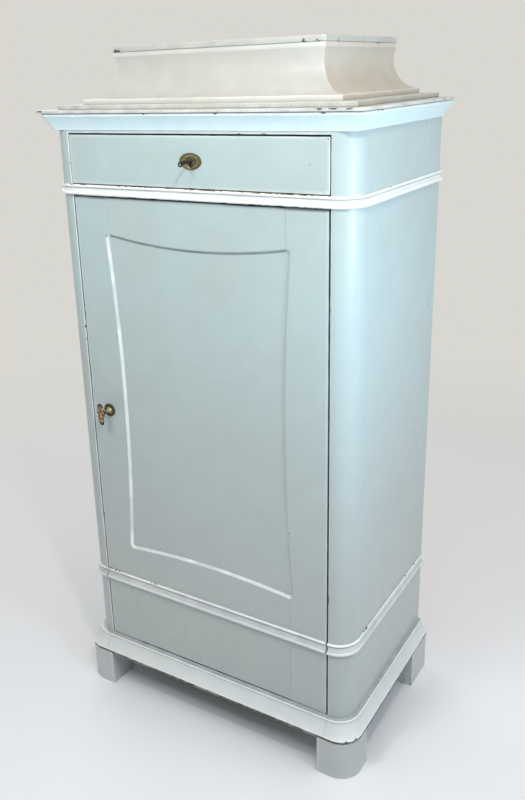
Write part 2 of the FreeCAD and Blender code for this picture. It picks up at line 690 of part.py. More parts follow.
def cove_face():
    """Section of a side cove across the width: foot, quarter hollow, crown and sloping back."""
    neck, foot_x = value("hood_neck_half"), value("hood_foot_half")
    low, top = value("hood_level"), value("lid_level")
    crown_z = top - value("hood_crown_height")
    crown_x = neck + value("hood_crown_out")
    foot_z = low + value("hood_foot_height")
    radius = foot_x - neck
    middle_z = foot_z + radius
    past = math.sqrt(radius ** 2 - (radius - value("hood_crown_out")) ** 2)
    turn_z = min(middle_z + past, crown_z)
    wall = value("hood_wall")
    low_mid = Vector(foot_x - radius * math.sqrt(0.5), 0, middle_z - radius * math.sqrt(0.5))
    high_angle = math.asin((turn_z - middle_z) / radius) / 2
    high_mid = Vector(foot_x - radius * math.cos(high_angle), 0,
                      middle_z + radius * math.sin(high_angle))
    neck_point = Vector(neck, 0, middle_z)
    turn_x = foot_x - math.sqrt(radius ** 2 - (turn_z - middle_z) ** 2)
    crown_x = max(crown_x, turn_x)
    path = [Vector(crown_x, 0, top), Vector(neck - wall, 0, top),
            Vector(neck - wall, 0, foot_z + radius * 0.6),
            Vector(foot_x - wall * 1.3, 0, low), Vector(foot_x, 0, low), Vector(foot_x, 0, foot_z)]
    edges = [Part.makeLine(path[index], path[index + 1]) for index in range(len(path) - 1)]
    edges.append(Part.Arc(path[-1], low_mid, neck_point).toShape())
    edges.append(Part.Arc(neck_point, high_mid, Vector(turn_x, 0, turn_z)).toShape())
    if crown_x - turn_x > 0.001:
        edges.append(Part.makeLine(Vector(turn_x, 0, turn_z), Vector(crown_x, 0, turn_z)))
    edges.append(Part.makeLine(Vector(crown_x, 0, turn_z), path[0]))
    return Part.Face(Part.Wire(edges))


def make_hood():
    """Base board, two side coves and a front cove mitred at the corners, back and lid."""
    node(box("hood_floor", ("-hood_base_half", "hood_base_half"),
             ("hood_base_depth", "carcass_depth"), ("hood_base_level", "hood_level")), "hood_base")
    foot_x, neck_x = value("hood_foot_half"), value("hood_neck_half")
    foot_y, neck_y = value("hood_foot_depth"), value("hood_neck_depth")
    depth = value("carcass_depth")
    squeeze = (neck_y - foot_y) / (foot_x - neck_x)
    section = cove_face()
    section.translate(Vector(0, foot_y, 0))
    side = section.extrude(Vector(0, depth - foot_y, 0))
    section.translate(Vector(0, -foot_y, 0))
    turn = FreeCAD.Matrix(0, 1, 0, 0, -squeeze, 0, 0, neck_y + neck_x * squeeze, 0, 0, 1, 0)
    across = section.transformGeometry(turn)
    across.translate(Vector(-foot_x, 0, 0))
    front = across.extrude(Vector(2 * foot_x, 0, 0))
    outer = 1.1 * foot_x
    apex = neck_y + neck_x * squeeze
    outer_y = apex - outer * squeeze
    wedge = prism([(-outer, outer_y), (outer, outer_y), (0, apex)],
                  value("hood_base_level"), value("lid_level") + value("lid_thick"))
    right = fixed("cove_side", side.cut(wedge))
    node(right, "hood_cove_right")
    node(mirrored("cove_mirror", right), "hood_cove_left")
    node(fixed("cove_front", front.common(wedge)), "hood_cove_front")
    back = box("hood_back_blank", ("-hood_foot_half", "hood_foot_half"),
               ("back_face", "carcass_depth"), ("hood_level", "lid_level"))
    outside = fixed("hood_outside", section_outside())
    node(cut("hood_rear", back, outside, mirrored("hood_outside_left", outside)), "hood_back")
    node(box("lid", ("-lid_half", "lid_half"), ("lid_depth", "carcass_depth"),
             span("lid_level", "lid_thick")), "hood_lid")


def section_outside():
    """Everything right of the inner side of the right cove, as a tool for the hood's back."""
    wall, low, top = value("hood_wall"), value("hood_level"), value("lid_level")
    foot_x, neck_x = value("hood_foot_half"), value("hood_neck_half")
    bend = low + value("hood_foot_height") + (foot_x - neck_x) * 0.6
    far = 2 * foot_x
    corners = [Vector(neck_x - wall, 0, top), Vector(neck_x - wall, 0, bend),
               Vector(foot_x - wall * 1.3, 0, low), Vector(far, 0, low), Vector(far, 0, top)]
    face = Part.Face(Part.makePolygon(corners + corners[:1]))
    return face.extrude(Vector(0, value("carcass_depth"), 0))


# ---------------------------------------------------------------- door

def bowed_outline(inset, depth):
    """Recess outline moved inwards by an inset: four bowed sides with rounded corners."""
    half, bow = value("recess_half") - inset, value("recess_bow_side")
    top, low = value("recess_top_level") - inset, value("recess_bottom_level") + inset
    middle = (top + low) / 2
    corners = [Vector(-half, 0, low), Vector(half, 0, low), Vector(half, 0, top), Vector(-half, 0, top)]
    bows = [Vector(0, 0, low + value("recess_bow_bottom")), Vector(half - bow, 0, middle),
            Vector(0, 0, top - value("recess_bow_top")), Vector(bow - half, 0, middle)]
    wire = Part.Wire([Part.Arc(corners[index], bows[index], corners[(index + 1) % 4]).toShape()
                      for index in range(4)])
    block = Part.Face(wire).extrude(Vector(0, value("door_thick"), 0))
    upright = [edge for edge in block.Edges if abs(edge.tangentAt(edge.FirstParameter).y) > 0.99]
    rounded = block.makeFillet(value("recess_radius") - inset, upright)
    outline = min(rounded.Faces, key=lambda face: face.CenterOfMass.y).OuterWire
    outline.translate(Vector(0, depth, 0))
    return outline


def recess_tool():
    """Cutter for the door's panel recess: bevelled at the face, straight behind it."""
    inner = bowed_outline(value("bevel_width"), value("bevel_depth"))
    bevel = Part.makeLoft([bowed_outline(0, 0), inner], True, True)
    through = Part.Face(inner).extrude(Vector(0, value("door_thick - bevel_depth"), 0))
    return bevel.fuse(through)


def make_door_frame():
    """Stiles, rails with tenons, and the panel in its groove."""
    recess = fixed("recess", recess_tool())
    panel_heights = ("panel_bottom", "panel_top")
    panel_depths = span("panel_setback", "panel_thick")
    panel_half = "recess_half + panel_tongue"
    panel = box("panel", (f"-({panel_half})", panel_half), panel_depths, panel_heights)
    node(panel, "door_panel")
    depths = ("0", "door_thick")
    tenon_depths = about("door_thick / 2", "tenon_thick")
    tenon_half = "rail_shoulder + tenon_length"
    tenons = []
    for name, heights, tenon_heights in (
            ("top", ("recess_top_level - recess_bow_top", "door_top"),
             ("panel_top", "door_top - tenon_shoulder")),
            ("bottom", ("door_bottom", "recess_bottom_level + recess_bow_bottom"),
             ("door_bottom + tenon_shoulder", "panel_bottom"))):
        rail = box(f"{name}_rail", ("-rail_shoulder", "rail_shoulder"), depths, heights)
        tenon = box(f"{name}_tenon", (f"-({tenon_half})", tenon_half), tenon_depths, tenon_heights)
        tenons.append(tenon)
        shaped = cut(f"{name}_rail_shaped", rail, recess, panel)
        node(fuse(f"{name}_rail_tenoned", shaped, tenon), f"door_rail_{name}")
    stile = stile_blank(depths)
    left_blank = mirrored("stile_left_blank", stile)
    plates = hinge_plates()
    holes = [pin(f"stile_hole_{name}", "pivot_radius + slide_clearance", "pivot_x", "pivot_depth", ends)
             for name, ends in (("top", ("door_top - pivot_length - slide_clearance", "door_top")),
                                ("low", ("door_bottom", "door_bottom + pivot_length + slide_clearance")))]
    node(cut("stile_right", stile, recess, panel, *tenons, *plates, *holes), "door_stile_right")
    pocket, spindle_hole = lock_pocket()
    node(cut("stile_left", left_blank, recess, panel, *tenons, pocket, spindle_hole), "door_stile_left")


def stile_blank(depths):
    """Stile board; between the rails its inner edge is wider, for the bow of the recess."""
    wide = "recess_half - recess_bow_side - 1"
    margin = "(recess_top_level - recess_bottom_level) / 10"
    board = box("stile_board", ("rail_shoulder", "door_half"), depths, ("door_bottom", "door_top"))
    belly = box("stile_belly", (wide, "rail_shoulder"), depths,
                (f"recess_bottom_level + {margin}", f"recess_top_level - {margin}"))
    return fuse("stile", board, belly)


def hinge_plates():
    """Two steel plates let into the door's top and bottom edges round the pins."""
    across = about("pivot_x - hinge_plate_length / 5", "hinge_plate_length")
    deep = about("pivot_depth", "hinge_plate_width")
    blanks = [box("plate_top", across, deep, ("door_top - hinge_plate_thick", "door_top")),
              box("plate_low", across, deep, span("door_bottom", "hinge_plate_thick"))]
    hole = pin("plate_hole", "pivot_radius + spin_clearance", "pivot_x", "pivot_depth",
               ("door_bottom", "door_top"))
    node(cut("plates", group("plate_blanks", *blanks), hole), "hinge_plates")
    return blanks


def lock_pocket():
    """Pocket for the door lock's case, and the hole for the spindle in front of it."""
    pocket = box("lock_pocket", span("-door_half", "lock_width"), span("lock_face", "lock_thick"),
                 about("handle_z", "lock_height"))
    hole = rod("spindle_hole", "stem_radius + slide_clearance", "handle_x", ("0", "lock_face"), "handle_z")
    return pocket, hole


def make_door_fittings():
    """Lock case and latch in the left stile, rosette and turning handle on its face."""
    case = box("lock_blank", span("-door_half", "lock_width"), span("lock_face", "lock_thick"),
               about("handle_z", "lock_height"))
    slot = box("latch_slot", ("-door_half", "handle_x"), span("bolt_face", "bolt_thick"),
               about("handle_z", "latch_height"))
    bearing = rod("lock_bearing", "stem_radius + spin_clearance", "handle_x",
                  ("lock_face", "lock_face + lock_thick"), "handle_z")
    node(cut("lock", case, slot, bearing), "door_lock")
    node(box("latch", ("-door_half + slide_clearance", "handle_x - stem_radius - slide_clearance"),
             ("bolt_face + slide_clearance", "bolt_face + bolt_thick - slide_clearance"),
             about("handle_z", "latch_height - 2 * slide_clearance")), "door_latch")
    rosette = turned("rosette", ("handle_x", "0", "handle_z"), [
        ("stem_radius + slide_clearance", "0"), ("rosette_radius", "0"),
        ("rosette_radius", "-rosette_rim / 2", "-0.52 * rosette_rim"),
        ("rosette_radius - rosette_rim", "-rosette_rim / 2"),
        ("neck_radius", "-rosette_floor"), ("stem_radius + slide_clearance", "-rosette_floor")],
        "XY_Plane")
    node(rosette, "door_rosette")
    neck_end = "grip_radius - handle_reach"
    neck = turned("neck", ("handle_x", "0", "handle_z"), [
        ("0", "lock_face + lock_thick - 1"), ("0", neck_end), ("stem_radius", neck_end),
        ("stem_radius", f"({neck_end}) / 2"),
        ("neck_radius", "-rosette_floor - 3"), ("neck_radius", "-rosette_floor - slide_clearance"),
        ("stem_radius", "-rosette_floor - slide_clearance"), ("stem_radius", "lock_face + lock_thick - 1")],
        "XY_Plane")
    grip = turned("grip", ("handle_x", "grip_radius - handle_reach", "handle_z"), [
        ("0", "-grip_half"), ("grip_radius / 4", "1 - grip_half"),
        ("grip_radius * 0.55", "-grip_half * 0.55", "1.6 * grip_half"),
        ("grip_radius", "0", "1.6 * grip_half"),
        ("grip_radius * 0.55", "grip_half * 0.55"),
        ("grip_radius / 4", "grip_half - 1"), ("0", "grip_half")], "XZ_Plane")
    node(fuse("handle", neck, grip), "door_handle")


# ---------------------------------------------------------------- drawer

def make_drawer():
    """Drawer front with lapped sides, back, bottom in grooves, lock case, bolt, plate and key."""
    inner_half = "drawer_half - drawer_side_thick"
    side_heights = span("drawer_low", "drawer_side_height")
    rebate_face = "drawer_front_thick - drawer_rebate"
    back_face = "drawer_length - drawer_side_thick"
    floor = box("drawer_floor", (f"-({inner_half}) - drawer_groove", f"{inner_half} + drawer_groove"),
                ("drawer_front_thick - drawer_groove", "drawer_length"),
                span("drawer_low + drawer_bottom_lift", "drawer_bottom_thick"))
    node(floor, "drawer_bottom")
    side = cut("drawer_side", box("drawer_side_blank", (inner_half, "drawer_half"),
                                  (rebate_face, "drawer_length"), side_heights), floor)
    node(side, "drawer_side_right")
    node(mirrored("drawer_side_mirror", side), "drawer_side_left")
    above_floor = "drawer_low + drawer_bottom_lift + drawer_bottom_thick"
    node(box("drawer_rear", (f"-({inner_half})", inner_half), (back_face, "drawer_length"),
             (above_floor, side_heights[1])), "drawer_back")
    keyhole = fuse("keyhole",
                   rod("keyhole_round", "keyhole_radius", "key_offset",
                       ("-escutcheon_thick", "drawer_bolt_face"), "key_z"),
                   box("keyhole_slit", about("key_offset", "keyhole_slot"),
                       ("-escutcheon_thick", "drawer_bolt_face"), ("key_z - keyhole_drop", "key_z")))
    lock_depths = ("drawer_lock_face", "drawer_front_thick")
    case = box("drawer_lock_blank", about("key_offset", "drawer_lock_width"), lock_depths,
               ("key_z - lock_thick - key_bit", "drawer_top_edge"))
    rebates = [box("rebate_right", ("drawer_half - drawer_side_thick", "door_half"),
                   (rebate_face, "drawer_front_thick"), ("drawer_bottom_edge", "drawer_top_edge"))]
    rebates.append(mirrored("rebate_left", rebates[0]))
    blank = box("drawer_front_blank", ("-door_half", "door_half"), ("0", "drawer_front_thick"),
                ("drawer_bottom_edge", "drawer_top_edge"))
    node(cut("drawer_face", blank, floor, case, keyhole, *rebates), "drawer_front")
    make_drawer_lock(case, keyhole)
    guide = box("guide", ("drawer_half + slide_clearance", "inner"), ("post_depth", "back_face"),
                span("divider_top", "guide_height"))
    node(group("guides", guide, mirrored("guide_left", guide)), "drawer_guides")


def make_drawer_lock(case, keyhole):
    """Lock case with a chamber for the key's bit and a channel for the bolt, and what works in it."""
    chamber = rod("key_chamber", "key_chamber", "key_offset",
                  span("drawer_bolt_face", "bolt_thick"), "key_z")
    channel = box("bolt_channel", about("key_offset", "bolt_width + 2 * slide_clearance"),
                  span("drawer_bolt_face", "bolt_thick"), ("key_z", "drawer_top_edge"))
    node(cut("drawer_lock_case", case, chamber, channel, keyhole), "drawer_lock")
    node(box("bolt", about("key_offset", "bolt_width"),
             ("drawer_bolt_face + slide_clearance", "drawer_bolt_face + bolt_thick - slide_clearance"),
             ("key_z + key_chamber", "drawer_top_edge - slide_clearance")), "drawer_bolt")
    plate = fixed("oval", oval_plate())
    node(cut("escutcheon", plate, keyhole), "drawer_escutcheon")
    shaft = rod("key_shaft", "key_radius", "key_offset",
                ("key_bow_length - key_bow_wire / 2 - key_reach",
                 "drawer_bolt_face + bolt_thick - slide_clearance"), "key_z")
    bit = box("key_bit_plate", about("key_offset", "key_bit_thick"),
              ("drawer_bolt_face + slide_clearance", "drawer_bolt_face + bolt_thick - slide_clearance"),
              ("key_z - key_bit", "key_z"))
    node(fuse("key", shaft, bit, fixed("key_bow", key_ring())), "drawer_key")


def oval_plate():
    """Oval plate on the drawer front, upright and flat."""
    middle = Vector(value("key_offset"), 0, value("key_z"))
    oval = Part.Ellipse(middle + Vector(value("escutcheon_width") / 2, 0, 0),
                        middle + Vector(0, 0, value("escutcheon_height") / 2), middle)
    face = Part.Face(Part.Wire(oval.toShape()))
    return face.extrude(Vector(0, -value("escutcheon_thick"), 0))


def key_ring():
    """Oval ring of round wire in the upright plane of the key."""
    wire = value("key_bow_wire") / 2
    length, height = value("key_bow_length") / 2, value("key_bow_height") / 2
    middle = Vector(value("key_offset"), length - value("key_reach"), value("key_z"))
    end = middle + Vector(0, length - wire, 0)
    path = Part.Wire(Part.Ellipse(end, middle + Vector(0, 0, height - wire), middle).toShape())
    section = Part.Wire(Part.Circle(end, Vector(0, 0, 1), wire).toShape())
    return path.makePipeShell([section], True, False)


# ---------------------------------------------------------------- inside

def make_inside():
    """Shelves on cleats behind the posts, and the stop that the door closes against."""
    cleats = []
    for name, level in (("lower", "shelf_lower_level"), ("upper", "shelf_upper_level")):
        node(box(f"shelf_{name}_board", ("-inner", "inner"), ("post_depth", "back_face"),
                 span(level, "shelf_thick")), f"shelf_{name}")
        cleat = box(f"cleat_{name}", ("inner - cleat_width", "inner"), ("post_depth", "back_face"),
                    (f"{level} - cleat_height", level))
        cleats += [cleat, mirrored(f"cleat_{name}_left", cleat)]
    node(group("cleats", *cleats), "shelf_cleats")
    node(box("stop", span("-opening", "stop_width"), span("door_thick + stop_gap", "stop_width"),
             ("door_bottom + stop_margin", "door_top - stop_margin")), "door_stop")


def check_and_write():
    """Recompute, refuse anything failed, and write each sub-part to its own file."""
    doc.recompute()
    failed = [item.Name for item in doc.Objects
              if "Invalid" in item.State or "Error" in item.State]
    for item in NODES:
        if item.Shape.isNull() or not item.Shape.isValid() or not item.Shape.Solids:
            failed.append(item.Label)
    if failed:
        raise RuntimeError(f"failed: {failed}")
    os.makedirs("parts", exist_ok=True)
    for item in NODES:
        item.Shape.exportStep(f"parts/{item.Label}.step")
        print(f"{item.Label}: {len(item.Shape.Solids)} solids, {item.Shape.Volume / 1000:.1f} cm3")
    print(len(NODES), "sub-parts")


make_feet()
make_base()
make_posts()
make_sides_and_back()
make_carcass_top()
make_hinge_pins()
make_bands()
make_cornice()
make_hood()
make_door_frame()
make_door_fittings()
make_drawer()
make_inside()
check_and_write()
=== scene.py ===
import math

import bmesh
import bpy
import numpy as np
from mathutils import Matrix, Vector


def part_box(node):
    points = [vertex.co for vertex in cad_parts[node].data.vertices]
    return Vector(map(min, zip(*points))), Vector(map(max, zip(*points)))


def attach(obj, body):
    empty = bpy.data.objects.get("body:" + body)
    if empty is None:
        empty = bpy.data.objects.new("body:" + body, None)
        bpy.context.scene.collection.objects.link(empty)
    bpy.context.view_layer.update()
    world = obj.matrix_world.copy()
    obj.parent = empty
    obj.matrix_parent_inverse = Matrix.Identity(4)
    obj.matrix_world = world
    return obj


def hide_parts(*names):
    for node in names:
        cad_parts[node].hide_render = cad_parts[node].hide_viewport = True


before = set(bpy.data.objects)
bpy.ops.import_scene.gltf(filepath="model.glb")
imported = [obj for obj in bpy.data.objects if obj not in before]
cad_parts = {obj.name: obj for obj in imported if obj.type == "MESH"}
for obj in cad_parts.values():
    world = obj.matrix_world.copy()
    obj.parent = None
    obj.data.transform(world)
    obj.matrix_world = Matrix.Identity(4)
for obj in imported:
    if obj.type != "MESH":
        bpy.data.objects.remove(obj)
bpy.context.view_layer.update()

# A tall painted cupboard: door, drawer and moulded bands on a carcass with rounded posts, a
# stepped cornice, a coved hood and block feet. Every surface is worked out with numpy from the
# boxes of the solid model's own pieces, in metres; MM turns a length in millimetres to metres.

MM = 0.001


def box_of(node):
    """Lowest and highest corner of a solid piece, as arrays."""
    low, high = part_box(node)
    return np.array(low), np.array(high)


FACE_Y = box_of("corner_post_right")[0][1]      # front plane of the carcass
OPENING = box_of("corner_post_right")[0][0]     # half the width of the door opening
HALF, BACK_Y, _ = box_of("side_panel_right")[1]     # half the carcass width; its rear plane
POST_RADIUS = 50 * MM                   # rounded outer corner of the posts
STEP = 6 * MM                           # spacing of points along a worn edge
EDGE_BAND = 7 * MM                      # how far the paler edge reaches in
SHARP_CORNER = 5 * MM                   # a plan corner with a smaller radius wears like an arris
ARRIS_POINTS = 5                        # points round a worn arris
SAWN, MOULDED, METAL = 38, 48, 40       # degrees between faces over which an edge shows as sharp
MERGE = 0.003 * MM                      # points nearer than this are one
SIDES = ((1, "right"), (-1, "left"))
FLIP = np.array([-1.0, 1.0, -1.0, 1.0])     # turns rows of (x, z, normal x, normal z) left for right


# ---------------------------------------------------------------- fields

CELL_PRIMES = np.array([73856093, 19349663, 83492791])     # mix a lattice cell into one number
SEED_PRIME, CODE_PRIME = 2654435761, 1274126177


def lumps(points, size, seed=0):
    """Smooth random field from 0 to 1: hashed values on a cubic lattice, blended by 3t2 - 2t3."""
    scaled = np.asarray(points, float) / size
    cell = np.floor(scaled).astype(np.int64)
    part = scaled - cell
    part = part * part * (3 - 2 * part)
    total = np.zeros(scaled.shape[:-1])
    for corner in range(8):
        step = np.array([corner & 1, corner >> 1 & 1, corner >> 2 & 1])
        spot = (cell + step) * CELL_PRIMES
        code = spot[..., 0] ^ spot[..., 1] ^ spot[..., 2] ^ (seed * SEED_PRIME)
        code = ((code ^ (code >> 13)) * CODE_PRIME) & 0x7FFFFFFF
        weight = np.prod(np.where(step == 1, part, 1 - part), axis=-1)
        total += weight * ((code >> 8) & 0xFFFF) / 0xFFFF
    return total


def smooth(value, low, high):
    """Share from 0 to 1 of the way from low to high, with no sudden ends."""
    share = np.clip((value - low) / (high - low), 0, 1)
    return share * share * (3 - 2 * share)


def dashes(points, share, seed):
    """Where an edge has lost its paint, 0 to 1: dashes about 6 mm long that come in patches.

    Two random fields are added, and what stands over a threshold is a dash; the threshold falls
    as the share of the edge that is bare grows.
    """
    patch, dash = 75 * MM, 6 * MM
    field = 0.4 * lumps(points, patch, seed) + 0.6 * lumps(points, dash, seed + 7)
    threshold = 0.8 - 0.3 * share
    return smooth(field, threshold, threshold + 0.05) * (share > 0)


# ---------------------------------------------------------------- outlines

# Columns of an outline, which runs anticlockwise with one row a point: its place, outward normal
# and mitre direction, how far it can move in along its normal, how near it is to a sharp corner
# (0 to 1), the direction of its edge, and its distances from the corners before and after it.
PLACE, WAY, MITRE, ROOM, NEAR = slice(0, 2), slice(2, 4), slice(4, 6), 6, 7
ALONG, BEFORE, AFTER = slice(8, 10), 10, 11


def unit(vector):
    """Direction of a vector."""
    return vector / np.linalg.norm(vector)


def arc_line(centre, radius, start, end, count):
    """Points on an arc about a centre, from one angle in degrees to another."""
    turn = np.radians(np.linspace(start, end, count))
    return np.column_stack([centre[0] + radius * np.cos(turn), centre[1] + radius * np.sin(turn)])


def corner_arc(before, corner, after, radius, turns):
    """Rounded corner of an outline: its normals turn evenly from one edge's to the next one's."""
    into, away = unit(corner - before), unit(after - corner)
    first, last = np.array([into[1], -into[0]]), np.array([away[1], -away[0]])
    mitre = (first + last) / (1 + first @ last)
    sweep = math.atan2(first[0] * last[1] - first[1] * last[0], first @ last)
    turn = np.linspace(0, sweep, turns + 1)
    way = np.column_stack([first[0] * np.cos(turn) - first[1] * np.sin(turn),
                           first[0] * np.sin(turn) + first[1] * np.cos(turn)])
    count = len(way)
    place = corner - radius * mitre + radius * way
    return np.column_stack([place, way, np.tile(mitre, (count, 1)), np.full(count, 0.9 * radius),
                            np.full(count, float(radius < SHARP_CORNER)), 0 * place, 0 * place + 1])


def rectangle(low, high, radii, turns=5):
    """Outline of a rectangle from its low and high corner: four rounded corners, anticlockwise
    from the lowest, and points a step apart between them."""
    corners = np.array([(low[0], low[1]), (high[0], low[1]), (high[0], high[1]), (low[0], high[1])], float)
    arcs = [corner_arc(corners[index - 1], corners[index], corners[(index + 1) % 4], radii[index], turns)
            for index in range(4)]
    parts = []
    for index, arc in enumerate(arcs):
        start, end = arc[-1], arcs[(index + 1) % 4][0]
        count = max(1, int(np.ceil(np.linalg.norm(end[PLACE] - start[PLACE]) / STEP)))
        share = np.arange(count)[:, None] / count
        run = (start[PLACE] + (end[PLACE] - start[PLACE]) * share)[1:]
        whole = np.ones(len(run))
        gap = whole
        for row in (start, end):
            if row[NEAR]:
                gap = np.minimum(gap, np.linalg.norm(run - row[PLACE], axis=1))
        way = np.tile(start[WAY], (len(run), 1))
        near = 1 - np.clip(gap / EDGE_BAND, 0, 1)
        ends = corners[index], corners[(index + 1) % 4]
        from_ends = np.column_stack([np.linalg.norm(run - point, axis=1) for point in ends])
        along = np.tile(unit(ends[1] - ends[0]), (len(run), 1))
        parts += [arc, np.column_stack([run, way, way, whole, near, along, from_ends])]
    return np.concatenate(parts)


def moved(outline, out):
    """Outline moved out by a distance, or in: along the normals, and past them along the mitre.

    Points of a straight edge that would pass the next edge's own inset line stop on it.
    """
    first = np.maximum(out, -outline[:, ROOM])
    slide = np.maximum(-out - outline[:, BEFORE], 0) - np.maximum(-out - outline[:, AFTER], 0)
    return (outline[:, PLACE] + outline[:, WAY] * first[:, None]
            + outline[:, MITRE] * (out - first)[:, None] + outline[:, ALONG] * slide[:, None])


# ---------------------------------------------------------------- meshes

def in_scene(name, data):
    """Object of some data, linked to the scene."""
    item = bpy.data.objects.new(name, data)
    bpy.context.scene.collection.objects.link(item)
    return item


def close_mesh(name, points, faces, pale, chip, grime_and_shade, sharp):
    """Mesh object from points and faces: doubles merged, faces outwards, smooth but for real edges.

    Each point carries how pale, chipped and grimy its paint is; its paleness also holds painted highlights,
    and its grime painted shade.
    """
    mesh = bpy.data.meshes.new(name)
    mesh.from_pydata(points.reshape(-1, 3).tolist(), [], faces)
    for label, values in (("pale", pale), ("chip", chip), ("grime_and_shade", grime_and_shade)):
        shares = np.clip(np.broadcast_to(values, points.shape[:2]).ravel(), 0, 1)
        attribute = mesh.attributes.new(label, "FLOAT", "POINT")
        attribute.data.foreach_set("value", shares.astype(np.float32))
    work = bmesh.new()
    work.from_mesh(mesh)
    bmesh.ops.remove_doubles(work, verts=work.verts, dist=MERGE)
    bmesh.ops.recalc_face_normals(work, faces=work.faces)
    work.to_mesh(mesh)
    work.free()
    mesh.polygons.foreach_set("use_smooth", [True] * len(mesh.polygons))
    mesh.set_sharp_from_angle(angle=math.radians(sharp))
    return in_scene(name, mesh)


def quads(rows, columns, closed_rows, closed_columns):
    """Faces of a grid of points, numbered row by row, which may close on itself either way."""
    down = np.arange(rows if closed_rows else rows - 1)[:, None]
    across = np.arange(columns if closed_columns else columns - 1)[None, :]
    here, there = down * columns, (down + 1) % rows * columns
    along = (across + 1) % columns
    faces = np.stack([here + across, here + along, there + along, there + across], axis=-1)
    return faces.reshape(-1, 4).tolist()


AXES = {"z": (0, 1, 2), "y": (0, 2, 1)}     # a slab's outline lies in the first two


def arris_layers(low, high, radius, top_radius=None, chip_low=1.0, chip_high=1.0):
    """Layers (place, out, pale, chip) of a slab: at each end a flat, a quarter round and a side.

    Round an arris of radius r the place moves on by r (1 - cos t) and the side in by r (1 - sin t).
    """
    layers = []
    ends = ((low, 1, radius, chip_low), (high, -1, top_radius or radius, chip_high))
    for place, way, arris, chip in ends:
        end = [(place, -arris - EDGE_BAND, 0.0, 0.0), (place, -arris - 1.5 * MM, 0.4, 0.0),
               (place, -arris - 0.5 * MM, 0.7, 0.5 * chip)]
        for turn in np.linspace(0, math.pi / 2, ARRIS_POINTS):
            end.append((place + way * arris * (1 - math.cos(turn)),
                        -arris * (1 - math.sin(turn)), 1.0, chip))
        if high - low > 2 * (EDGE_BAND + radius):
            end += [(place + way * (arris + 1.2 * MM), 0.0, 0.4, 0.0),
                    (place + way * (arris + EDGE_BAND), 0.0, 0.0, 0.0)]
        layers += end[::way]
    return layers


def shade_in_gap(depth, start=0.3 * MM):
    """Painted shade in a gap, by depth behind the face: it starts on the front arris and fades further in."""
    return smooth(depth, start, start + 0.8 * MM) * (1 - smooth(depth, 4 * MM, 9 * MM))


def slab(name, outline, layers, axis="z", seed=0, share=0.12, pale=0.5, bite=0.7 * MM, grime_and_shade=0.0):
    """Solid with a flat at each end: the outline at each layer's place, moved out by its distance.

    Worn edges are paler, and where they are chipped the points also move in by the chip's depth.
    The grime and painted shade is one share for all or one for each point of the outline; None darkens the
    sides by depth behind the first end: painted shade in a gap.
    """
    order = AXES[axis]
    if grime_and_shade is None:
        grime_and_shade = shade_in_gap(np.array([layer[:1] for layer in layers]) - layers[0][0])
    furthest_in = -0.4 * np.ptp(outline[:, PLACE], axis=0).min()
    near = outline[:, NEAR]
    grid = np.zeros((len(layers), len(outline), 3))
    worn, bare = np.zeros((2, *grid.shape[:2]))
    for index, (place, out, light, chip) in enumerate(layers):
        spot = grid[index]
        out = max(out, furthest_in)
        spot[:, order[2]] = place
        spot[:, order[:2]] = moved(outline, out)
        bare[index] = dashes(spot, share, seed) * np.maximum(chip, near > 0.99)
        spot[:, order[:2]] = moved(outline, out - bite * bare[index])
        worn[index] = np.maximum(light, near) * pale * (0.35 + 0.9 * lumps(spot, 24 * MM, seed + 3))
    rows, columns = worn.shape
    faces = quads(rows, columns, False, True)
    faces += [list(range(columns))[::-1], list(range((rows - 1) * columns, rows * columns))]
    return close_mesh(name, grid, faces, worn, bare, grime_and_shade, SAWN)


def board(name, low, high, axis="z", arris=1.2 * MM, seed=0, share=0.12, pale=0.5):
    """Sawn board filling a box, with every arris rounded."""
    order = AXES[axis]
    flat = [(corner[order[0]], corner[order[1]]) for corner in (low, high)]
    layers = arris_layers(low[order[2]], high[order[2]], arris)
    return slab(name, rectangle(*flat, [arris] * 4), layers, axis, seed, share, pale)


def loft(name, grid, inward, pale, chip, grime_and_shade, seed, share=0.15, bite=0.6 * MM, sharp=MOULDED):
    """Closed length of a section: grid[section point, station], capped at its first and last station.

    Where the edge is chipped, a point also moves inward by the chip's depth.
    """
    bare = dashes(grid, share, seed) * chip
    worn = pale * (0.45 + 0.8 * lumps(grid, 26 * MM, seed + 3))
    rows, columns = grid.shape[:2]
    ends = np.arange(rows) * columns
    faces = quads(rows, columns, True, False) + [ends.tolist(), (ends + columns - 1)[::-1].tolist()]
    return close_mesh(name, grid + inward * (bite * bare)[..., None], faces, worn, bare, grime_and_shade, sharp)


def moulding(name, levels, plan, seed, share=0.15):
    """Moulding: levels (out at the sides, out at the front, height, pale, chip, grime) give the
    section, and plan(out at the sides, out at the front) the line that each level follows."""
    nudge = 1 * MM
    grid, inward = [], []
    for out_side, out_front, height, *_ in levels:
        line = plan(out_side, out_front)
        grid.append(np.column_stack([line, np.full(len(line), height)]))
        way = (plan(out_side - nudge, out_front - nudge) - line) / nudge
        inward.append(np.column_stack([way, np.zeros(len(line))]))
    pale, chip, grime_and_shade = np.array([level[3:6] for level in levels]).T[:, :, None]
    return loft(name, np.array(grid), np.array(inward), pale, chip, grime_and_shade, seed, share)


def shell(name, grid, grime_and_shade):
    """Closed surface of rings that shrink to a point at the first and last row."""
    return close_mesh(name, grid, quads(*grid.shape[:2], False, True), 0, 0, grime_and_shade, METAL)


def round_angles(count):
    """Angles of so many even steps round a full turn."""
    return np.linspace(0, 2 * math.pi, count, endpoint=False)


def turned(name, rows, centre, turns):
    """Solid turned about a line from front to back, from rows (radius, place along it, grime): the
    radius times the cosine and the sine of the angle gives the width and the height."""
    reach, depth, grime_and_shade = np.array(rows, float).T[:, :, None]
    angle = round_angles(turns)
    grid = np.stack([centre[0] + reach * np.cos(angle), depth + 0 * angle,
                     centre[2] + reach * np.sin(angle)], axis=-1)
    return shell(name, grid, grime_and_shade)


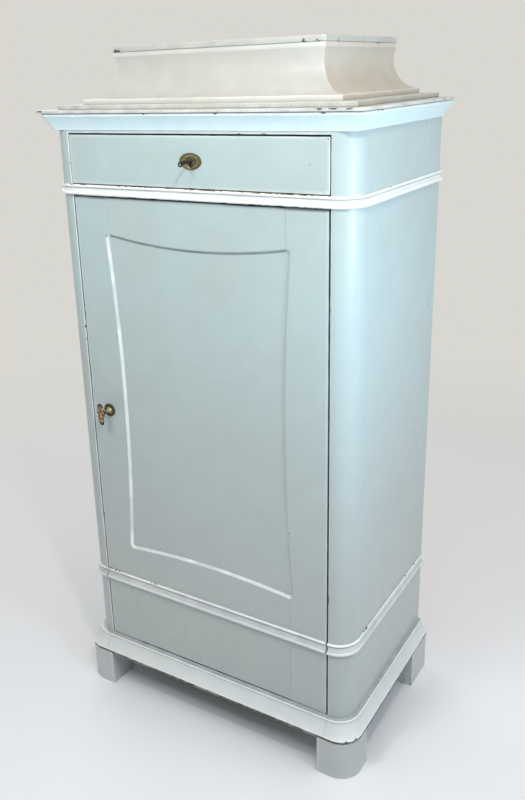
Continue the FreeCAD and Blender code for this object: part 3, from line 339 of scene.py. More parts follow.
def tube(path, radii, sides, flatten):
    """Round bar along a path of points, as rings that stand square to it.

    A ring's two directions are the path's normal as seen from the front and the line from front
    to back, the latter flattened by a share.
    """
    along = np.gradient(path, axis=0)
    along /= np.linalg.norm(along, axis=1)[:, None]
    depth = np.array([0.0, 1.0, 0.0])
    aside = np.cross(along, depth)
    angle = round_angles(sides)
    ring = np.cos(angle)[None, :, None] * aside[:, None, :]
    ring = ring + np.sin(angle)[None, :, None] * depth[None, None, :] * flatten
    return path[:, None, :] + ring * np.asarray(radii, float)[:, None, None]


def joined(name, pieces):
    """Several meshes as one piece."""
    work = bmesh.new()
    for piece in pieces:
        work.from_mesh(piece.data)
        bpy.data.objects.remove(piece)
    mesh = bpy.data.meshes.new(name)
    work.to_mesh(mesh)
    work.free()
    mesh.set_sharp_from_angle(angle=math.radians(METAL))
    return in_scene(name, mesh)


def leave_room(piece, low, high):
    """Take a box out of a piece, for a bolt, latch or plate that sits or slides in it."""
    mesh = bpy.data.meshes.new("room")
    corners = [[(low, high)[index >> axis & 1][axis] for axis in range(3)] for index in range(8)]
    mesh.from_pydata(corners, [], [(0, 2, 3, 1), (4, 5, 7, 6), (0, 1, 5, 4), (2, 6, 7, 3), (0, 4, 6, 2),
                                   (1, 3, 7, 5)])
    room = in_scene("room", mesh)
    cut = piece.modifiers.new("room", "BOOLEAN")
    cut.operation, cut.solver, cut.object = "DIFFERENCE", "EXACT", room
    whole = piece.evaluated_get(bpy.context.evaluated_depsgraph_get())
    piece.data = bpy.data.meshes.new_from_object(whole)
    piece.modifiers.clear()
    bpy.data.objects.remove(room)


def bare_inside(piece, direction, material):
    """Leave the faces that look a given way unpainted."""
    piece.data.materials.append(material)
    normals = np.zeros(len(piece.data.polygons) * 3, np.float32)
    piece.data.polygons.foreach_get("normal", normals)
    inner = normals.reshape(-1, 3) @ np.array(direction, np.float32) > 0.95
    piece.data.polygons.foreach_set("material_index", inner.astype(np.int32))


# ---------------------------------------------------------------- finishes

def linear(code):
    """sRGB hex colour as linear light, with full alpha."""
    parts = [int(code[i:i + 2], 16) / 255 for i in (1, 3, 5)]
    return (*[part / 12.92 if part <= 0.04045 else ((part + 0.055) / 1.055) ** 2.4
              for part in parts], 1.0)


def add(tree, kind, takes=None, **settings):
    """One node with its settings and what its inputs take: a value or another node's output."""
    node = tree.nodes.new("ShaderNode" + kind)
    for name, setting in settings.items():
        setattr(node, name, setting)
    for name, source in (takes or {}).items():
        if isinstance(source, bpy.types.NodeSocket):
            tree.links.new(source, node.inputs[name])
        else:
            node.inputs[name].default_value = source
    return node.outputs


def new_material(name):
    """Empty node material, with its tree and the shader to fill in."""
    material = bpy.data.materials.new(name)
    material.use_nodes = True
    return material, material.node_tree, material.node_tree.nodes["Principled BSDF"]


def layered(name, along, fields, shares, coats, bumps, metallic=None, cells=None):
    """Material laid on in coats, from tables in which a text names what was made before it.

    fields: noise as (size of its lumps in millimetres, detail, roughness, stretch along an axis).
    shares: (value, low, high, first, last) maps a value smoothly from one range to another and
    holds it at the ends; (OPERATION, parts) is arithmetic; "rough" is the roughness.
    coats: the first colour, then (share, colour) laid over it. bumps: (height, depth in
    millimetres, strength, sunk). cells: size in millimetres of random cells, each with its
    distance, "cell", and a number of its own, "code". "up" is the height over the floor, and any
    other text an attribute of the mesh.
    """
    material, tree, shader = new_material(name)
    spot = add(tree, "TexCoord")["Object"]
    made = {}

    def read(source):
        """What a table's text names, made when it is first read; a number stays itself."""
        if not isinstance(source, str):
            return source
        if source == "up":
            made[source] = add(tree, "SeparateXYZ", {"Vector": spot})["Z"]
        elif source not in made:
            made[source] = add(tree, "Attribute", attribute_name=source)["Fac"]
        return made[source]

    for label, (size, detail, roughness, stretch) in fields.items():
        scale = tuple(1 / (size * MM * (stretch if axis == along else 1)) for axis in "xyz")
        takes = {"Vector": add(tree, "Mapping", {"Vector": spot, "Scale": scale})[0], "Scale": 1.0,
                 "Detail": detail, "Roughness": roughness}
        made[label] = add(tree, "TexNoise", takes)["Fac"]
    if cells:
        cell = add(tree, "TexVoronoi", {"Vector": spot, "Scale": 1 / (cells * MM)})
        made["cell"] = cell["Distance"]
        made["code"] = add(tree, "SeparateColor", {"Color": cell["Color"]})[0]
    for label, row in shares.items():
        arithmetic = row[0].isupper()
        takes = {index: read(part) for index, part in enumerate(row[1:] if arithmetic else row)}
        kind, settings = (("Math", {"operation": row[0]}) if arithmetic else
                          ("MapRange", {"interpolation_type": "SMOOTHSTEP"}))
        made[label] = add(tree, kind, takes, **settings)[0]
    tone = linear(coats[0])
    for share, colour in coats[1:]:
        tone = add(tree, "Mix", {0: read(share), 6: tone, 7: linear(colour)}, data_type="RGBA")[2]
    under = {}
    for height, depth, strength, sunk in bumps:
        takes = {"Height": read(height), "Strength": strength, "Distance": depth * MM, **under}
        under = {"Normal": add(tree, "Bump", takes, invert=sunk)[0]}
    ends = {"Base Color": tone, "Roughness": read("rough"), **under}
    if metallic:
        ends["Metallic"] = read(metallic)
    for socket, source in ends.items():
        tree.links.new(source, shader.inputs[socket])
    return material


def painted(name, high, low, cloudy, edge, bare, along="z", gloss=0.31):
    """Oil paint brushed on softwood, satin: the gloss is broad, so lamps show as soft glows.

    The colour greys and darkens towards the floor: partly scuffs and mopping there, and partly painted light,
    standing in for light that falls off downwards and for the cool tint it has high up. Clouds of 240 mm come
    from age. Brush marks 2.5 mm apart and 200 mm long barely show. Arrises are rubbed to a pale coat, which
    also lays painted highlights where the pale share is raised for the light; chipped spots show dark old
    wood with ragged rims, and knocks are a few mm across. The bluish near-black coat is grime and also
    painted shade.
    """
    fields = {"clouds": (240, 3, 0.5, 1), "mottle": (45, 3, 0.5, 1), "streak": (2.5, 2, 0.5, 80),
              "grit": (4, 3, 0.6, 1), "waves": (70, 2, 0.5, 3)}
    shares = {
        # The height share turns the paint bluer and brighter high up: partly painted light, and partly scuffs
        # near the floor.
        "height": ("up", 0.2, 1.3, 0, 1), "aged": ("clouds", 0.38, 0.68, 0, 0.5),
        "mottled": ("mottle", 0.3, 0.7, 0, 0.1), "streaked": ("streak", 0.35, 0.7, 0, 0.02),
        # The pale coat is wear on arrises, and painted highlights where the pale share was raised on bevels
        # and band beads.
        "gritty": ("grit", 0.3, 0.55, 0.55, 1), "rubbed_and_highlight": ("MULTIPLY", "pale", "gritty"),
        # The dark share is grime, and painted shade where the grime share was set in gaps and crevices.
        "blotched": ("mottle", 0.3, 0.6, 0.7, 1), "dirt_and_shade": ("MULTIPLY", "grime_and_shade", "blotched"),
        "dent": ("cell", 0.013, 0.03, 1, 0), "rare": ("code", 0.62, 0.64, 0, 1),
        "knock": ("MULTIPLY", "dent", "rare"), "bruise": ("MULTIPLY", "knock", 0.5),
        "rim": ("grit", 0.3, 0.7, -0.3, 0.3), "ragged": ("ADD", "chip", "rim"),
        "gone": ("ragged", 0.5, 0.68, 0, 1), "dull": ("clouds", 0.3, 0.7, gloss - 0.04, gloss + 0.07),
        "matt": ("MULTIPLY", "gone", 0.8), "rough": ("MAXIMUM", "dull", "matt")}
    coats = [low, ("height", high), ("aged", cloudy), ("mottled", "#9FA7A9"), ("streaked", edge),
             # The bluish near-black coat is grime, and painted shade in gaps, crevices, under the bands and
             # on the bevel that faces down.
             ("rubbed_and_highlight", edge), ("dirt_and_shade", "#343A40"), ("bruise", "#7F8583"), ("gone", bare)]
    bumps = [("waves", 0.9, 0.35, False), ("streak", 0.012, 0.6, False), ("knock", 0.5, 0.7, True),
             ("gone", 0.35, 0.8, True)]
    return layered(name, along, fields, shares, coats, bumps, cells=95)


def bare_wood(name, pale, dark, along):
    """Planed softwood, never painted and browned with age: growth lines a few millimetres apart
    run along the board, with fine pores and dirt in the low spots, and no gloss."""
    fields = {"bend": (60, 2, 0.5, 20), "pores": (1.6, 2, 0.5, 22), "age": (130, 4, 0.6, 1)}
    shares = {"turns": ("MULTIPLY", "bend", 100), "rings": ("SINE", "turns"),
              "grain": ("rings", -0.3, 1, 0, 0.6), "browned": ("age", 0.4, 0.75, 0, 0.4),
              "soiled": ("pores", 0.58, 0.8, 0, 0.4), "rough": ("age", 0.2, 0.8, 0.6, 0.78)}
    coats = [pale, ("grain", dark), ("browned", "#6B5138"), ("soiled", "#4E3722")]
    bumps = [("rings", 0.25, 0.25, False), ("pores", 0.2, 0.3, False)]
    return layered(name, along, fields, shares, coats, bumps)


def old_metal(name, bright, dull, hollow, rough, patina):
    """Cast metal handled for a century: bright on the high parts, brown oxide in blotches of
    5 mm, wider the stronger the patina, near black dirt in the hollows, and a finely pitted skin
    that breaks its reflections."""
    fields = {"blotch": (5, 4, 0.6, 1), "pits": (0.9, 3, 0.6, 1)}
    shares = {"oxide": ("blotch", 0.55 - 0.2 * patina, 0.75 - 0.2 * patina, 0, 1),
              "patchy": ("blotch", 0.2, 0.6, 0.7, 1), "dirt_and_shade": ("MULTIPLY", "grime_and_shade", "patchy"),
              "shine": ("blotch", 0.3, 0.7, rough, rough + 0.2), "dust": ("MULTIPLY", "dirt_and_shade", 0.35),
              "rough": ("ADD", "shine", "dust"), "film": ("MULTIPLY", "dirt_and_shade", 0.7),
              "clean": ("SUBTRACT", 1, "film")}
    coats = [bright, ("oxide", dull), ("dirt_and_shade", hollow)]
    bumps = [("pits", 0.12, 0.5, False), ("blotch", 0.3, 0.4, False)]
    return layered(name, None, fields, shares, coats, bumps, "clean")


# Colours of paint: high up, low down (the change between them partly painted light), in clouds, at rubbed
# edges, which also serve painted highlights, and in chips.
PAINT = {way: painted(f"satin_oil_paint_{way}", "#B6CACC", "#B8BFBE", "#B3BFBD", "#F1F6F6", "#565350", way)
         for way in "xz"}
TRIM = {way: painted(f"moulding_paint_{way}", "#EAF1F3", "#BEC4C4", "#DDE4E4", "#F9FBFB", "#554D47",
                     way, 0.33)
        for way in "xy"}
CORNICE = {way: painted(f"cornice_paint_{way}", "#E0FAFF", "#E0FAFF", "#DDF5FB", "#F8FBFC", "#5F564F",
                        way, 0.33)
           for way in "xy"}
BASE = {way: painted(f"base_paint_{way}", "#D5DBDC", "#D5DBDC", "#CED4D4", "#F6F7F6", "#4A4642", way)
        for way in "xy"}
# The hood's sides take a warmer copy of its paint: painted light, the warm light that falls on the sides.
HOOD = {"x": painted("hood_paint_front", "#CBCDC9", "#CBCDC9", "#C5C2BA", "#EDEDE8", "#57504A", "x", 0.36),
        "y": painted("hood_paint_side_with_painted_warm_light", "#CECABF", "#CECABF", "#C2B39E", "#EDEBE3", "#57504A", "y", 0.36)}
LID = painted("hood_board_paint", "#AEB3AE", "#AEB3AE", "#AAA9A2", "#E6E7E4", "#57504A", "x", 0.38)
FOOT = painted("foot_paint", "#C5CACA", "#C5CACA", "#BBC0BE", "#DEE2E1", "#57514B", "z", 0.5)
PINE = {way: bare_wood(f"bare_pine_{way}", "#C39A68", "#9A6F42", way) for way in "xyz"}
BRASS = old_metal("cast_brass", "#A79E72", "#5D5E45", "#15150F", 0.3, 0.35)
BRONZE = old_metal("worn_gilt_bronze", "#D6B99D", "#75573F", "#17130F", 0.34, 0.75)
STEEL = old_metal("dark_steel", "#5E5D5B", "#2E2C2A", "#0F0E0D", 0.35, 0.7)


def place(piece, body, node, slot, material, bare_way=None, bare=None):
    """Give a piece its finish, its body and the solid piece that it stands for; faces that look the bare way
    stay unpainted. The slot is not used."""
    piece.data.materials.append(material)
    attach(piece, body)
    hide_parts(node)
    if bare:
        bare_inside(piece, bare_way, bare)


# ---------------------------------------------------------------- base

BASE_RADIUS = 55 * MM                   # plan corner of the base and of the front feet


def make_feet():
    """Block feet: plan outline with a large round at the outer front corner, arrises worn."""
    for index, node in enumerate(("foot_front_left", "foot_front_right",
                                  "foot_rear_left", "foot_rear_right")):
        low, high = box_of(node)
        arris, set_back = 2 * MM, 1 * MM
        radii = [arris] * 4
        if "front" in node:
            radii["right" in node] = BASE_RADIUS - set_back
        layers = arris_layers(low[2], high[2], 1.5 * MM, chip_high=0.0)
        piece = slab(f"{node}_block", rectangle(low, high, radii, turns=14), layers, seed=11 + index,
                     share=0.1, pale=0.35)
        place(piece, "carcass", node, "painted_wood", FOOT)


def front_rounded(node, radius):
    """Plan outline of a board with two rounded front corners and square rear ones."""
    low, high = box_of(node)
    rear = 1.5 * MM
    return rectangle(low, high, [radius, radius, rear, rear], turns=14)


def make_base_board():
    """Thin board over the feet: its edge shows under the moulding and is badly chipped."""
    low, high = box_of("base_board")
    layers = arris_layers(low[2], high[2] - 0.3 * MM, 1.0 * MM)
    piece = slab("base_board_edge", front_rounded("base_board", BASE_RADIUS), layers, seed=21,
                 share=1.0, pale=0.2, bite=1.2 * MM, grime_and_shade=0.8)
    place(piece, "carcass", "base_board", "painted_moulding", FOOT)


def wrap_line(side, out_side, out_front, radius, start_x=None):
    """Plan line round one front corner and back to the rear.

    It starts on the front at a width, or at the middle of the corner where none is given.
    """
    right, front = HALF + out_side, FACE_Y - out_front
    arc = arc_line((right - radius, front + radius), radius, -45 if start_x is None else -90, 0, 15)
    back = arc[-1] + (np.array([right, BACK_Y]) - arc[-1]) * np.linspace(0, 1, 75)[:, None]
    line = np.concatenate([arc[:-1], back])
    if start_x is not None:
        start = np.array([start_x, front])
        line = np.concatenate([start + (arc[0] - start) * np.linspace(0, 1, 9)[:-1, None], line])
        line[:, 0] = np.maximum(line[:, 0], start_x)
    return line * [side, 1.0]


def front_line(left, right):
    """Plan of a moulding straight across the front between two widths."""
    x = np.linspace(left, right, 115)
    return lambda out_side, out_front: np.column_stack([x, np.full(len(x), FACE_Y - out_front)])


def base_levels(low, high, out_side, out_front):
    """Section of the base moulding: upright edge, hollow slope that rises by s as the projection
    falls by (1 - s) to the power 1.35, a rubbed half-round bead on its rim, and a soiled ledge
    from there to the door."""
    edge, neck, bead = low + 3 * MM, 10 * MM, 11.2 * MM
    slope = high - 4.2 * MM - edge
    levels = [(0, 0, low + 0.4 * MM, 0, 0, 0)]
    for drop, height, pale in ((1.0, 0.4, 0.2), (0.2, 0.8, 0.6), (0.0, 1.6, 0.8), (0.0, 2.4, 0.8),
                               (0.4, 3.0, 1.0)):
        levels.append((out_side - drop * MM, out_front - drop * MM, low + height * MM, pale, 1.0, 0))
    for share in np.linspace(0.05, 1, 16):
        fall = (1 - share) ** 1.35
        levels.append((neck + (out_side - neck - 1 * MM) * fall, neck + (out_front - neck - 1 * MM) * fall,
                       edge + slope * share, 0.25 * (1 - share), 0, 0.3 * smooth(share, 0.9, 1.0)))
    for turn in np.linspace(0.1, math.pi, 11):
        out = neck + (bead - neck) * math.sin(turn)
        levels.append((out, out, edge + slope + (high - edge - slope) * (1 - math.cos(turn)) / 2,
                       1.0, 0.5 * math.sin(turn), 0))
    for out, drop in ((9.0, 0.1), (8.2, 0.5), (0.0, 0.5)):
        levels.append((out * MM, out * MM, high - drop * MM, 0.3 * (drop < 0.5), 0, 0.4 * (drop > 0.1)))
    return levels


def make_base_moulding():
    """Base moulding in three lengths; the side lengths start with the corner block."""
    low, high = box_of("base_moulding_front")
    out_side = box_of("base_moulding_right")[1][0] - HALF
    levels = base_levels(low[2], high[2], out_side, FACE_Y - low[1])
    joint, gap, grown = high[0], 0.3 * MM, 4.5 * MM

    for side, name in SIDES:
        def plan(out, out_front, side=side):
            """Plan line whose corner grows to the base's own radius over the first few mm out."""
            radius = POST_RADIUS + (BASE_RADIUS - POST_RADIUS) * min(1.0, out / grown)
            return wrap_line(side, out, out_front, radius, joint + gap)
        piece = moulding(f"base_moulding_{name}_length", levels, plan, 31 + side, 0.25)
        place(piece, "carcass", f"base_moulding_{name}", "painted_moulding", BASE["y"])
    piece = moulding("base_moulding_front_length", levels, front_line(-joint + gap, joint - gap), 34, 0.25)
    place(piece, "carcass", "base_moulding_front", "painted_moulding", BASE["x"])


# ---------------------------------------------------------------- carcass

LATCH_THROW, BOLT_RISE = 11 * MM, 11 * MM       # room beyond the latch's and the bolt's own ends


def make_posts():
    """Rounded corner posts: plan outline with a quarter round of the post's radius."""
    for side, name in SIDES:
        low, high = box_of(f"corner_post_{name}")
        inner, rear = 1.9 * MM, 0.3 * MM
        outline = rectangle(low, high, [inner, POST_RADIUS][::side] + [rear] * 2, turns=30)
        outline[:, NEAR] *= outline[:, 1] < FACE_Y + 3 * EDGE_BAND
        ends = arris_layers(low[2], high[2], 0.4 * MM, chip_low=0.0, chip_high=0.0)
        margin, half = 10 * MM, len(ends) // 2
        middle = [(height, 0.0, 0.0, 0.0) for height in np.arange(low[2] + margin, high[2] - margin, STEP)]
        inner_side = np.abs(outline[:, 0]) < OPENING + 0.3 * MM
        # The side facing the door darkens behind the front arris: painted shade in the gap beside the door.
        piece = slab(f"corner_post_{name}_rounded", outline, ends[:half] + middle + ends[half:],
                     seed=41 + side, share=0.14, pale=0.85, bite=0.5 * MM,
                     grime_and_shade=inner_side * shade_in_gap(outline[:, 1] - FACE_Y, 1.5 * MM))
        if side < 0:
            latch_low, latch_high = box_of("door_latch")
            strike_low, strike_high = box_of("strike_plate")
            play, past_face = 0.4 * MM, 1 * MM
            leave_room(piece, latch_low - [LATCH_THROW, play, play], latch_high + play)
            leave_room(piece, strike_low, strike_high + [past_face, 0, 0])
        place(piece, "carcass", f"corner_post_{name}", "painted_wood", PAINT["z"])


def make_sides():
    """Each side is two boards whose glue joint has opened to a hairline."""
    joint, gap = FACE_Y + 187 * MM, 0.1 * MM
    for side, name in SIDES:
        low, high = box_of(f"side_panel_{name}")
        spans = (("front", low[1] + 0.05 * MM, joint - gap), ("rear", joint + gap, high[1]))
        for index, (part, front, rear) in enumerate(spans):
            piece = board(f"side_board_{name}_{part}", (low[0], front, low[2]), (high[0], rear, high[2]),
                          arris=0.2 * MM, seed=51 + side + 3 * index, share=0.0, pale=0.0)
            place(piece, "carcass", f"side_panel_{name}", "painted_wood", PAINT["z"],
                  (-side, 0, 0), PINE["z"])


def make_back():
    """Four upright back boards, rough and unpainted, with small gaps between them."""
    low, high = box_of("back_boards")
    width, gap = (high[0] - low[0]) / 4, 0.8 * MM
    for index in range(4):
        left = low[0] + index * width
        piece = board(f"back_board_{index + 1}", (left + gap, low[1], low[2]),
                      (left + width - gap, high[1], high[2]), arris=2 * MM, seed=61 + index)
        place(piece, "carcass", "back_boards", "bare_pine", PINE["z"])


def make_rails():
    """Rail over the drawer, with room for the drawer's bolt, and rail under the door."""
    for node in ("top_rail", "base_rail"):
        low, high = box_of(node)
        # Behind the front arris the edges darken for a few millimetres: painted shade in the gaps beside the
        # rails.
        piece = slab(f"{node}_board", rectangle(low[[0, 2]], high[[0, 2]], [1.0 * MM] * 4),
                     arris_layers(low[1], high[1], 1.0 * MM), "y", 71, 0.2, grime_and_shade=None)
        if node == "top_rail":
            bolt_low, bolt_high = box_of("drawer_bolt")
            play = 0.5 * MM
            leave_room(piece, bolt_low - play, bolt_high + [play, play, BOLT_RISE])
        place(piece, "carcass", node, "painted_wood", PAINT["x"])


def band_levels(low, high, out, light, painted_shade):
    """Section of a band from below: half-round bead, quirk, shallow hollow, quirk, small bead.

    The large bead is paler, most on its front, by the first share given: wear, and partly a painted
    highlight; the quirk under the small bead is darkened by the second: painted shade.
    """
    large, small, quirk = 9 * MM, 6 * MM, 0.4 * MM
    small_out = 0.69 * out
    levels = [(0.0, low, 0, 0, 0)]
    for turn in np.linspace(-math.pi / 2, math.pi / 2, 15):
        levels.append((out * (0.36 + 0.64 * math.cos(turn)), low + large * (1 + math.sin(turn)) / 2,
                       light * (0.3 + 0.6 * math.cos(turn)), float(turn < -0.8), 0.5 * (turn > 1.4)))
    start, end = low + large + quirk, high - small - quirk
    for share in np.linspace(0, 1, 9):
        hollow = out * (0.27 + 0.2 * share - 0.16 * math.sin(math.pi * share))
        levels.append((hollow, start + (end - start) * share, 0.5, 0, painted_shade * smooth(share, 0.7, 1.0)))
    for turn in np.linspace(-math.pi / 2, math.pi / 2, 13):
        round_share = 0.4 + 0.6 * math.cos(turn)
        levels.append((small_out * round_share, high - small + small * (1 + math.sin(turn)) / 2,
                       round_share, float(turn > 0.7), 0.5 * painted_shade * (turn < -1.4)))
    levels.append((0.0, high, 0, 0.5, 0.3))
    return [(row[0], *row) for row in levels]


def make_bands():
    """Two bands: the upper one on the divider, the lower one cut through at the door."""
    # Per band: how pale its large bead is made, partly a painted highlight, and the painted shade in its
    # quirks.
    for height, front, body, gap, light, painted_shade in (
            ("upper", "upper_band_front", "carcass", -0.05 * MM, 1.0, 0.6),
            ("lower", "door_band", "door", 0.4 * MM, 0.5, 0.8)):
        low, high = box_of(front)
        levels = band_levels(low[2], high[2], FACE_Y - low[1], light, painted_shade)
        piece = moulding(f"{front}_length", levels, front_line(low[0] + gap, high[0] - gap), 81, 0.6)
        place(piece, body, front, "painted_moulding", TRIM["x"])
        for side, name in SIDES:
            def plan(out, out_front, side=side):
                """Plan line round the post, as far out from it at the corner as at the side."""
                return wrap_line(side, out, out_front, POST_RADIUS + out, OPENING + 0.25 * MM)
            piece = moulding(f"{height}_band_{name}_length", levels, plan, 84 + side, 0.6)
            place(piece, "carcass", f"{height}_band_{name}", "painted_moulding", TRIM["y"])


# ---------------------------------------------------------------- cornice and hood

CORNICE_RADIUS = 20 * MM                # plan corner of cornice and lip


def cornice_levels(low, high, out_side, out_front):
    """Section of the cornice: a cove that leans out by a share s of its projection less the sag
    0.35 s (1 - s), and an upright fillet on top."""
    fillet = high - 6 * MM
    shares = [(0.0, low, 0, 0, 0), (0.065, low, 0.4, 0.3, 0.3)]
    for share in np.linspace(0.03, 1, 16):
        lean = 0.065 + 0.895 * share - 0.35 * share * (1 - share)
        shares.append((lean, low + (fillet - low) * share, 0.5 * (share < 0.1), 0, 0))
    shares += [(0.99, fillet + 0.4 * MM, 0.7, 0, 0.2), (1.0, fillet + 1.4 * MM, 0.7, 0.3, 0),
               (1.0, high - 1.0 * MM, 0.9, 0.8, 0), (0.97, high, 0.6, 1.0, 0.5), (0.0, high, 0, 0, 1.0)]
    return [(out_side * share, out_front * share, *rest) for share, *rest in shares]


def make_cornice():
    """Cornice in three lengths mitred at the corners, and the thin lip board over a dark groove."""
    low, high = box_of("cornice_front")
    outs = {1: box_of("cornice_right")[1][0] - HALF, -1: -HALF - box_of("cornice_left")[0][0]}
    narrow = outs[-1] / outs[1]

    def across(out, out_front):
        """Plan line of the front length: half of each corner's arc and a straight line between."""
        ends = []
        for side, reach in ((-1, out * narrow), (1, out)):
            centre = (HALF + reach - CORNICE_RADIUS, FACE_Y - out_front + CORNICE_RADIUS)
            ends.append(arc_line(centre, CORNICE_RADIUS, -90, -45, 9) * [side, 1.0])
        x = np.linspace(ends[0][0, 0], ends[1][0, 0], 122)[1:-1]
        middle = np.column_stack([x, np.full(len(x), FACE_Y - out_front)])
        return np.concatenate([ends[0][::-1], middle, ends[1]])

    plans = {name: lambda out, out_front, side=side: wrap_line(side, out, out_front, CORNICE_RADIUS)
             for side, name in SIDES}
    lengths = (("right", 1, plans["right"], "y", 92), ("left", -1, plans["left"], "y", 90),
               ("front", 1, across, "x", 95))
    for name, side, plan, way, seed in lengths:
        levels = cornice_levels(low[2], high[2], outs[side], FACE_Y - low[1])
        piece = moulding(f"cornice_{name}_length", levels, plan, seed, 0.3)
        place(piece, "carcass", f"cornice_{name}", "painted_moulding", CORNICE[way])
    low, high = box_of("cornice_board")
    piece = slab("cornice_board_lip", front_rounded("cornice_board", CORNICE_RADIUS),
                 arris_layers(low[2], high[2], 1.1 * MM, chip_low=0.0), seed=96, share=0.5, pale=0.6,
                 bite=0.4 * MM)
    place(piece, "carcass", "cornice_board", "painted_moulding", LID)


def cove_section(neck_x):
    """Outer line of a cove, rows (width, height, pale, chip, grime): an upright foot, a hollow that
    is an arc as deep as the foot stands out from the neck, and a narrow crown."""
    low, high = box_of("hood_cove_right")
    foot_x, base, top = high[0], low[2], high[2]
    radius = foot_x - neck_x
    foot_z, crown = base + 10.5 * MM, top - 10 * MM
    rows = [(foot_x, base, 0.2, 0.3, 0.6), (foot_x, base + 1 * MM, 0.1, 0, 0.1),
            (foot_x, foot_z - 1.5 * MM, 0.6, 0, 0), (foot_x - 0.4 * MM, foot_z - 0.5 * MM, 1.0, 0.4, 0),
            (foot_x - 1.5 * MM, foot_z, 0.8, 0.4, 0)]
    last = math.asin(min(1.0, (crown - foot_z - radius) / radius))
    for turn in np.linspace(-math.pi / 2 + 0.06, last, 34):
        # The lower half of the hollow darkens: dust, and painted shade that keeps it darker than the upper
        # half.
        soiled = 0.14 * (-math.sin(turn)) ** 0.7 if turn < 0 else 0.0
        rows.append((foot_x - radius * math.cos(turn), foot_z + radius * (1 + math.sin(turn)), 0, 0, soiled))
    edge_x = rows[-1][0] + 0.4 * MM
    rows += [(edge_x, crown + 1 * MM, 0.4, 0, 0), (edge_x, top - 1 * MM, 0.3, 0.5, 0),
             (edge_x - 0.8 * MM, top, 0.3, 0.8, 0.2)]
    rows += [(neck_x - 17 * MM, top, 0, 0, 0), (neck_x - 17 * MM, base + 50 * MM, 0, 0, 0),
             (foot_x - 22 * MM, base, 0, 0, 0)]
    return np.array(rows).T[:, :, None]


def make_coves():
    """Front and side coves: the section carried along each side, mitred on upright planes.

    The mitre's depth falls with the width in one proportion, so the front cove is the side cove
    squeezed from front to back.
    """
    overhang, tight = 6 * MM, 0.12 * MM
    neck_x, neck_y = box_of("hood_lid")[1][0] - overhang, box_of("hood_lid")[0][1] + overhang
    width, height, pale, chip, grime_and_shade = cove_section(neck_x)
    squeeze = (neck_y - box_of("hood_cove_front")[0][1]) / (box_of("hood_cove_right")[1][0] - neck_x)
    depth = neck_y - (width - neck_x) * squeeze

    def cove(name, across, along, inward, near, seed, way):
        """One length: the section's rows at every station's width and depth, paler near a mitre."""
        grid = np.stack(np.broadcast_arrays(across, along, height), axis=-1)
        piece = loft(f"hood_cove_{name}_length", grid, np.array(inward), np.maximum(pale, 0.3 * near),
                     np.maximum(chip, near > 0.8), grime_and_shade, seed, 0.28)
        place(piece, "carcass", f"hood_cove_{name}", "painted_hood", HOOD[way])

    worn = 0.022                        # share of a side length that is rubbed beside its mitre
    share = np.concatenate([[0, 0.004, 0.011, worn], np.linspace(0.035, 1, 66)])
    near = np.where(share < worn, 1 - share / worn, 0)
    for side, name in SIDES:
        cove(name, side * width, depth + tight + (BACK_Y - depth - tight) * share, (-side, 0, 0), near,
             101 + side, "y")
    worn, edge = 0.02, np.array([0.985, 0.993, 0.997])
    share = np.sort(np.concatenate([np.linspace(-1, 1, 122), edge, -edge]))
    near = np.clip((np.abs(share) - (1 - worn)) / worn, 0, 1)
    cove("front", share * (width - tight), depth, (0, 1, 0), near, 104, "x")


def make_hood_boards():
    """Board under the hood and the lid on top of it, with worn arrises."""
    for node, share, pale, seed in (("hood_base", 0.08, 0.5, 111), ("hood_lid", 0.2, 0.4, 114)):
        low, high = box_of(node)
        layers = arris_layers(low[2] + 0.2 * MM, high[2], 1.2 * MM, 1.8 * MM, chip_high=0.4)
        piece = slab(f"{node}_board", rectangle(low, high, [2.2 * MM] * 4), layers, seed=seed, share=share,
                     pale=pale, bite=0.5 * MM)
        place(piece, "carcass", node, "painted_hood", LID)


# ---------------------------------------------------------------- door

SHOULDER = 226 * MM                     # joint between rails and stiles
PANEL_TONGUE = 9 * MM                   # the panel runs this far past the recess corners
BOW_SIDE, BOW_TOP, BOW_BOTTOM = 18 * MM, 22 * MM, 14 * MM
RECESS_ROUND = 12 * MM
JOINT_GAP = 0.13 * MM
DOOR_HEAD = box_of("door_stile_right")[1][2]

# Section of a door member, in millimetres. The inner edge has rows (depth behind the face, out at the recess,
# out at a joint, pale, chip, grime and shade); the outer edge (depth, out, pale, chip, grime and shade). On
# the outer edge that last column is painted shade in the gap round the door, darkest about a millimetre
# behind the face and faint by 9 mm.
INNER_EDGE = [
    (24.0, 5.5, -1.0, 0, 0, 0), (23.0, 6.5, -0.13, 0, 0, 0), (4.6, 6.5, -0.13, 0, 0, 0.8),
    (4.2, 6.5, -0.13, 0.3, 0, 0.5), (3.9, 6.3, -0.13, 0.8, 0, 0), (2.6, 4.2, -0.13, 1.0, 0, 0),
    (1.4, 2.1, -0.13, 1.0, 0, 0), (0.85, 1.1, -0.13, 1.0, 0.3, 0), (0.4, 0.35, -0.16, 0.9, 1.0, 0),
    (0.12, -0.25, -0.25, 0.6, 1.0, 0), (0.0, -0.7, -0.5, 0.3, 0.7, 0), (0.0, -2.0, -0.9, 0, 0, 0),
    (0.0, -9.0, -9.0, 0, 0, 0)]
OUTER_EDGE = [
    (0.0, -9.0, 0, 0, 0), (0.0, -4.2, 0.2, 0, 0), (0.0, -3.1, 0.3, 1, 0), (0.12, -2.55, 0.3, 1, 0.1),
    (0.4, -2.11, 0.1, 1, 0.6), (0.85, -1.82, 0, 0, 1), (1.4, -1.7, 0, 0, 1), (4.0, -1.7, 0, 0, 0.8),
    (9.0, -1.7, 0, 0, 0.1), (23.0, 0.0, 0, 0, 0), (24.0, -1.0, 0, 0, 0)]

